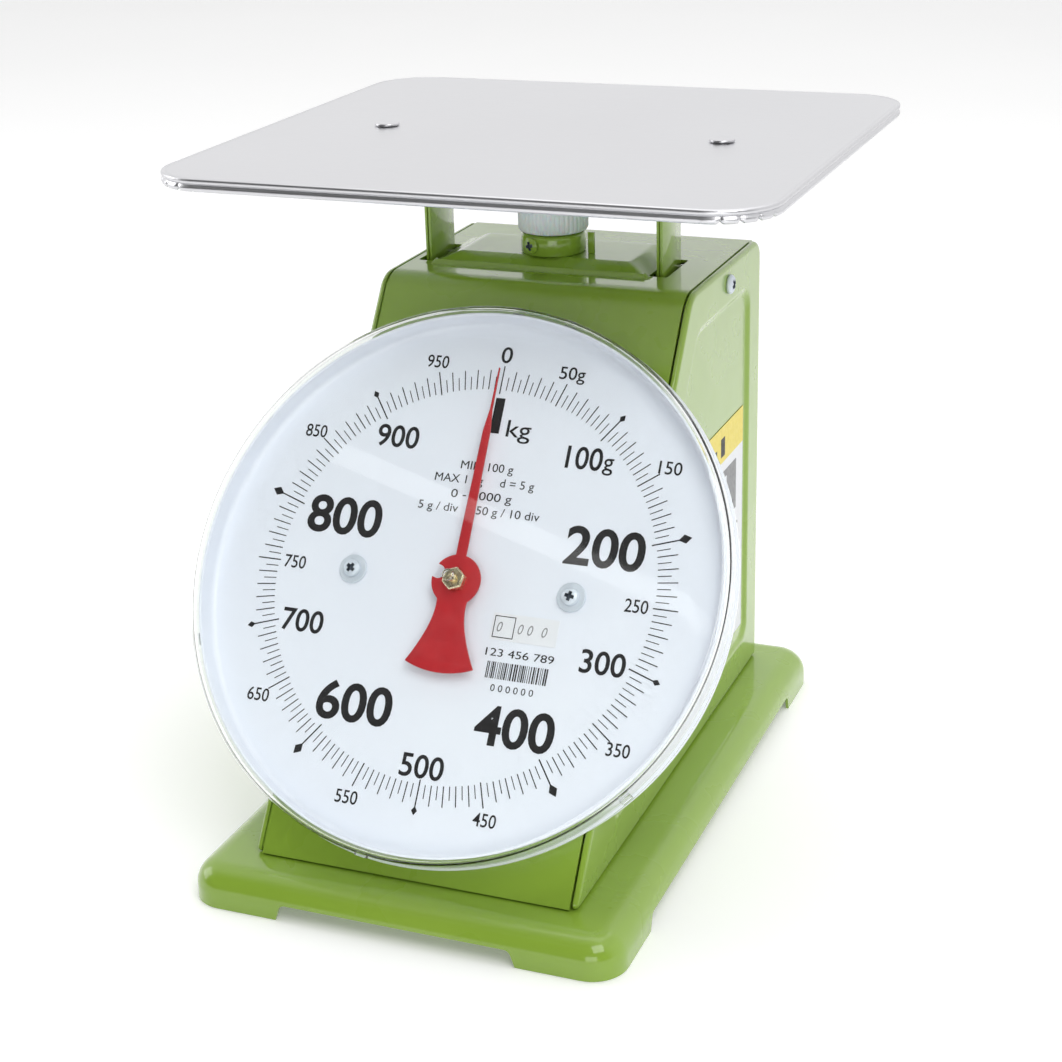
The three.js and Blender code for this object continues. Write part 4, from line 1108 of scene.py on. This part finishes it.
# %% Dial screws
DIAL_SCREW_OUT = 39.5 * MM
for side, word in ((-1, "left"), (1, "right")):
    place = DIAL @ Matrix.Translation((side * DIAL_SCREW_OUT, 0, DIAL_FACE + 0.1 * MM))
    rim = [(2.0, 0), (4.85, 0), (4.95, 0.15), (4.95, 0.75), (4.7, 1.0), (2.0, 1.05)]
    washer = turned(f"washer_{word}", [(r * MM, z * MM) for r, z in rim], place, 56, closed=True)
    dress(washer, ZINC, "body", [f"dial_washer_{word}"], angle=30)
    seat = place @ Matrix.Translation((0, 0, 1.1 * MM)) @ Matrix.Rotation(0.4 + side, 4, "Z")
    head = cross_screw(f"dial_head_{word}", seat, *DIAL_HEAD)
    dress(head, ZINC, "body", [f"dial_screw_{word}"])
    shade_recess(head, seat, *DIAL_HEAD, RECESS_PAINTED_SHADE)

# %% [markdown]
# The pointer is blanked from thin sheet: a long needle, a round hub with a slot, and a fan tail that
# balances the needle. Its edges are broken slightly, as a press leaves them, and a hexagonal brass
# nut clamps it to its shaft.

# %% Pointer
POINTER_LOW = DIAL_FACE + 4.0 * MM
POINTER_HIGH = POINTER_LOW + 0.7 * MM
POINTER_TIP = 74.4
HUB = 8.7
TAIL = 31.4
TAIL_HALF = math.radians(22.9)


def pointer_outline():
    right = [(0.22, POINTER_TIP), (0.45, POINTER_TIP * 0.8), (1.35, POINTER_TIP * 0.7), (1.85, 12.0)]
    hub_from, hub_to = math.radians(78), math.radians(-52)
    hub_turns = [hub_from + (hub_to - hub_from) * k / 20 for k in range(21)]
    hub = [(HUB * math.cos(turn), HUB * math.sin(turn)) for turn in hub_turns]
    neck = []
    start = Vector(hub[-1])
    bend = Vector((4.3, -15.0))
    end = Vector((TAIL * math.sin(TAIL_HALF), -TAIL * math.cos(TAIL_HALF)))
    for k in range(1, 15):
        t = k / 14
        spot = start * (1 - t) ** 2 + bend * 2 * t * (1 - t) + end * t * t
        neck.append((spot.x, spot.y))
    tail_turns = [TAIL_HALF * (1 - k / 8) for k in range(1, 9)]
    arc = [(TAIL * math.sin(turn), -TAIL * math.cos(turn)) for turn in tail_turns]
    half = right + hub + neck + arc
    return half + [(-x, y) for x, y in reversed(half[:-1])]


def pointer_sheet():
    outline = list(reversed(pointer_outline()))
    rings = []
    for level in (POINTER_LOW, POINTER_HIGH):
        rings.append([DIAL @ Vector((x * MM, y * MM, level)) for x, y in outline])
    sheet = loft("pointer_blade", rings)
    notch_corners = rectangle(4.6, 9)
    turn = Matrix.Rotation(math.radians(72), 4, "Z") @ Matrix.Translation((0, 9.4 * MM, 0))
    ring = corner_ring(notch_corners, [2.2] * 4, 8)
    rings = []
    for level in (POINTER_LOW - 1 * MM, POINTER_HIGH + 1 * MM):
        rings.append([DIAL @ turn @ Vector((p.x * MM, p.y * MM, level)) for p in ring])
    carve(sheet, loft("hub_notch", rings))
    return round_edges(sheet, 0.12 * MM, 2, 40)


dress(pointer_sheet(), RED, "pointer", ["pointer"], angle=40)


def hex_nut():
    sides = 6
    low = POINTER_HIGH + 0.05 * MM
    rings = []
    for radius, rise in ((3.7, 0), (4.1, 0.35), (4.1, 2.6), (3.6, 3.1)):
        ring = []
        for i in range(sides):
            turn = 2 * math.pi * i / sides + 0.35
            x, y = radius * MM * math.cos(turn), radius * MM * math.sin(turn)
            ring.append(DIAL @ Vector((x, y, low + rise * MM)))
        rings.append(ring)
    nut = loft("hex_nut", rings)
    bore = turned("nut_bore", [(1.55 * MM, low - 0.001), (1.55 * MM, low + 0.006)], DIAL, 32)
    carve(nut, bore)
    return round_edges(nut, 0.12 * MM, 2, 30)


dress(hex_nut(), BRASS, "pointer", ["pointer_nut"], angle=30)
spindle = [(1.5, 12.0), (1.5, 18.2), (1.2, 18.7), (0.5, 18.9), (0.05, 18.9)]
stub = turned("spindle_tip", [(r * MM, z * MM) for r, z in spindle], DIAL, 32)
dress(stub, BRASS, "pointer", [], angle=40)

# %% [markdown]
# The clear cover is a shallow cup snapped over the pan, slightly domed, with a thicker bead round
# its edge, a few snap lugs and a small moulding pip in its middle. It has a real wall thickness:
# a single skin would bend the light wrongly and would lose the bright double line at the rim.

# %% Cover
LENS_RADIUS = 94.6 * MM
LENS_WALL = 1.3 * MM
LENS_BACK = 10.6 * MM
LENS_EDGE = 21.8 * MM
LENS_CROWN = 23.4 * MM
LENS_ROUND = 3.2 * MM


def dome_profile(radius, crown, edge, steps=10):
    return [(radius * k / steps, crown - (crown - edge) * (k / steps) ** 2) for k in range(1, steps + 1)]


def cover_profile():
    inner = LENS_RADIUS - LENS_WALL
    crown, edge = LENS_CROWN - LENS_WALL, LENS_EDGE - LENS_WALL
    tip = 0.05 * MM
    under = [(tip, crown)] + dome_profile(inner - 2 * MM, crown, edge)
    under += quarter_arc(inner - 2 * MM, edge, inner, edge - 2 * MM, 5, False)
    bead = LENS_RADIUS + 0.7 * MM
    rim = [(inner, LENS_BACK + 0.3 * MM), (inner + 0.3 * MM, LENS_BACK), (bead - 0.3 * MM, LENS_BACK)]
    rim += [(bead, LENS_BACK + 0.4 * MM), (bead, LENS_BACK + 1.2 * MM), (LENS_RADIUS, LENS_BACK + 1.9 * MM)]
    shoulder = LENS_EDGE - LENS_ROUND
    over = quarter_arc(LENS_RADIUS, shoulder, LENS_RADIUS - LENS_ROUND, LENS_EDGE, 8, True)
    dome = [(r, z) for r, z in reversed(dome_profile(LENS_RADIUS - LENS_ROUND, LENS_CROWN, LENS_EDGE))][1:]
    return under + rim + [(LENS_RADIUS, shoulder)] + over + dome + [(tip, LENS_CROWN)]


cover = turned("clear_cup", cover_profile(), DIAL, 180)
dress(cover, CLEAR, "body", ["lens_cover"], angle=40)
pip = [(1.3, 21.2), (1.3, 22.0), (2.0, 22.0), (2.0, 21.4), (1.7, 21.2)]
pip_made = turned("cover_pip", [(r * MM, z * MM) for r, z in pip], DIAL, 40, closed=True)
dress(pip_made, CLEAR, "body", [])
for number, degrees in enumerate((2, 14, 131, 188, 250)):
    turn = math.radians(degrees)
    place = DIAL @ Matrix.Rotation(-turn, 4, "Z") @ Matrix.Translation((0, LENS_RADIUS + 0.2 * MM, 0))
    outline = corner_ring(rectangle(4.2 * MM, 1.4 * MM), [0.5 * MM] * 4, 5)
    rings = [[place @ Vector((p.x, p.y, level * MM)) for p in outline] for level in (12.6, 15.4)]
    lug = round_edges(loft(f"snap_lug_{number}", rings), 0.2 * MM, 2, 50)
    dress(lug, CLEAR, "body", [])

# %% [markdown]
# The label on the right side is a plain paper sticker: a yellow band over a white field, with a few
# grey blocks and lines where a real one has its printing.

# %% Side label
label_low, label_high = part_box("side_label")
LABEL_FACE = case_half + case_middle - FIELD_DEPTH + 0.05 * MM
label_place = Matrix(((0, 0, 1, LABEL_FACE), (1, 0, 0, 0), (0, 1, 0, 0), (0, 0, 0, 1)))


def label_part(name, low_y, high_y, low_z, high_z, thickness, finish, stands_for=(), slot=None):
    outline = [(low_y, low_z), (high_y, low_z), (high_y, high_z), (low_y, high_z)]
    ring = corner_ring([Vector(corner) for corner in outline], [0.3 * MM] * 4, 4)
    rings = [[label_place @ Vector((p.x, p.y, level)) for p in ring] for level in (-0.2 * MM, thickness)]
    return dress(loft(name, rings), finish, "body", stands_for)


band = label_high.z - 14 * MM
across = (label_low.y, label_high.y)
label_part("label_paper", *across, label_low.z, label_high.z, 0.12 * MM, PAPER, ["side_label"], "label")
label_part("label_band", *across, band, label_high.z, 0.17 * MM, YELLOW)
label_marks = [
    (0.42, 0.46, 0.89, 0.92, 0.2, BLACK),
    (0.54, 0.62, 0.87, 0.95, 0.2, BLACK),
    (0.52, 0.86, 0.58, 0.8, 0.15, GREY),
    (0.57, 0.66, 0.67, 0.77, 0.2, PAPER),
    (0.56, 0.8, 0.6, 0.63, 0.2, BLACK),
    (0.12, 0.9, 0.5, 0.512, 0.15, GREY),
    (0.12, 0.8, 0.45, 0.462, 0.15, GREY),
    (0.12, 0.86, 0.4, 0.412, 0.15, GREY),
    (0.12, 0.4, 0.14, 0.26, 0.15, GREY),
]
label_size = label_high - label_low
for number, (y0, y1, z0, z1, thickness, finish) in enumerate(label_marks):
    span_y = (label_low.y + y0 * label_size.y, label_low.y + y1 * label_size.y)
    span_z = (label_low.z + z0 * label_size.z, label_low.z + z1 * label_size.z)
    label_part(f"label_block_{number}", *span_y, *span_z, thickness * MM, finish)

# %% [markdown]
# The springs are wire coils. They hang from the yoke and stretch as the platform sinks; here each is
# a fixed coil, taken off the case's body. The wire is a ring of points carried along the coil's
# route, which keeps it one plain mesh.

# %% Springs
def wire_along(name, route, radius, sides=10):
    rings = []
    for i, point in enumerate(route):
        ahead = (route[min(i + 1, len(route) - 1)] - route[max(i - 1, 0)]).normalized()
        side = ahead.cross(Vector((0, 0, 1)))
        side = side.normalized() if side.length > 1e-6 else Vector((1, 0, 0))
        other = side.cross(ahead)
        turns = [2 * math.pi * k / sides for k in range(sides)]
        rings.append([point + (side * math.cos(turn) + other * math.sin(turn)) * radius for turn in turns])
    return loft(name, rings)


def coil_route(centre, low, high, radius, turns):
    route = []
    steps = turns * 20
    for k in range(steps + 1):
        turn = 2 * math.pi * turns * k / steps
        x, y = centre.x + radius * math.cos(turn), centre.y + radius * math.sin(turn)
        route.append(Vector((x, y, low + (high - low) * k / steps)))
    return route


for word in ("left", "right"):
    low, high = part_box(f"spring_{word}")
    centre = (low + high) / 2
    route = coil_route(centre, low.z + 5 * MM, high.z - 5 * MM, 4 * MM, 24)
    coil = wire_along(f"coil_{word}", route, 0.6 * MM)
    dress(coil, SPRING, "body", [], angle=60)
    bpy.context.view_layer.update()
    coil.parent = None
    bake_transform(coil)
    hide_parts(f"spring_{word}")

# %% [markdown]
# The rest of the works is already the right shape in the mechanical model. Those nodes stay as they
# are and only get their metal.

# %% Dress the works
FINISH_OF_SLOT = {
    "green_paint": GREEN,
    "stainless": STAINLESS,
    "zinc_steel": ZINC,
    "brass": BRASS,
    "spring_steel": SPRING,
    "white_plastic": ENAMEL,
    "clear_plastic": CLEAR,
    "milky_plastic": MILKY,
    "red_paint": RED,
    "label": PAPER,
}
for part in frame["record"]["subparts"]:
    node = frame["nodes"][part["node"]]
    node.data.materials.clear()
    node.data.materials.append(FINISH_OF_SLOT[part["material_slot"]])

# %% [markdown]
# A pale table, a white room and soft lamps. The room is white behind the scale and dim in front of
# it: what the paint and the platter reflect matters as much as the lamps, and the clear cover would
# show a bright front as a veil over the dial.

# %% Stage and lights
def soft_lamp(name, place, target, size, power):
    light = bpy.data.lights.new(name, "AREA")
    light.shape = "RECTANGLE"
    light.size, light.size_y = size
    light.energy = power
    lamp = bpy.data.objects.new(name, light)
    lamp.location = place
    lamp.rotation_euler = (Vector(target) - Vector(place)).to_track_quat("-Z", "Y").to_euler()
    bpy.context.scene.collection.objects.link(lamp)


FLOOR_SIZE = 12
floor_points = [(p.x, p.y, 0) for p in rectangle(FLOOR_SIZE, FLOOR_SIZE)]
floor = new_object("table", floor_points, [(0, 1, 2, 3)])
floor_finish, floor_shader = new_finish("pale_table", (0.93, 0.93, 0.93), 0.7)
floor_noise = add_noise(floor_finish, 3, 2)
vary_colour(floor_finish, floor_shader, floor_noise, (0.925, 0.925, 0.925), (0.94, 0.94, 0.94))
floor_shader.inputs["Emission Color"].default_value = (1, 1, 1, 1)
floor_shader.inputs["Emission Strength"].default_value = 0.18
floor.data.materials.append(floor_finish)
world = bpy.data.worlds.new("white_room")
bpy.context.scene.world = world
world.use_nodes = True
tree = world.node_tree
direction = tree.nodes.new("ShaderNodeTexCoord")
split = tree.nodes.new("ShaderNodeSeparateXYZ")
shade = tree.nodes.new("ShaderNodeMapRange")
shade.interpolation_type = "SMOOTHSTEP"
shade.inputs["From Min"].default_value = -0.55
shade.inputs["From Max"].default_value = 0.1
shade.inputs["To Min"].default_value = 0.07
shade.inputs["To Max"].default_value = 1.0
tree.links.new(direction.outputs["Generated"], split.inputs["Vector"])
tree.links.new(split.outputs["Y"], shade.inputs["Value"])
tree.links.new(shade.outputs["Result"], tree.nodes["Background"].inputs["Strength"])
tree.nodes["Background"].inputs["Color"].default_value = (1, 1, 1, 1)
soft_lamp("key", (0.75, -0.85, 1.3), (0, 0, 0.1), (0.9, 0.9), 9.3)
soft_lamp("low_front", (0.45, -1.5, 0.3), (0, 0, 0.05), (0.9, 0.5), 3.8)
soft_lamp("ceiling", (0.0, 0.5, 1.5), (0, 0, 0.1), (1.4, 1.4), 5)
soft_lamp("window_left", (-1.6, -0.2, 0.7), (0, 0, 0.1), (0.9, 0.9), 5)
soft_lamp("strip", (-0.40, -0.98, 1.12), (0, -0.06, 0.12), (0.7, 0.03), 0.07)
bpy.context.scene.view_settings.view_transform = "Standard"
print("lights ready")

# %% [markdown]
# The camera stands to the right of the dial and a little above it, with a long lens. It is aimed by
# its own three angles: round, up and roll.

# %% Camera
CAMERA_PLACE = Vector((0.26985, -0.65573, 0.3726))
CAMERA_ROUND = math.radians(22.174)
CAMERA_UP = math.radians(21.614)
CAMERA_ROLL = math.radians(-1.654)
CAMERA_LENS = 70.97
SENSOR_WIDTH = 36
camera_data = bpy.data.cameras.new("view")
camera_data.lens = CAMERA_LENS
camera_data.sensor_width = SENSOR_WIDTH
camera = bpy.data.objects.new("view", camera_data)
level_back = Vector((math.sin(CAMERA_ROUND), -math.cos(CAMERA_ROUND), 0))
toward_camera = level_back * math.cos(CAMERA_UP) + Vector((0, 0, math.sin(CAMERA_UP)))
level_right = Vector((math.cos(CAMERA_ROUND), math.sin(CAMERA_ROUND), 0))
level_up = toward_camera.cross(level_right)
right = level_right * math.cos(CAMERA_ROLL) + level_up * math.sin(CAMERA_ROLL)
up = toward_camera.cross(right)
turned_to = Matrix((right, up, toward_camera)).transposed().to_4x4()
camera.matrix_world = Matrix.Translation(CAMERA_PLACE) @ turned_to
bpy.context.scene.collection.objects.link(camera)
bpy.context.scene.camera = camera
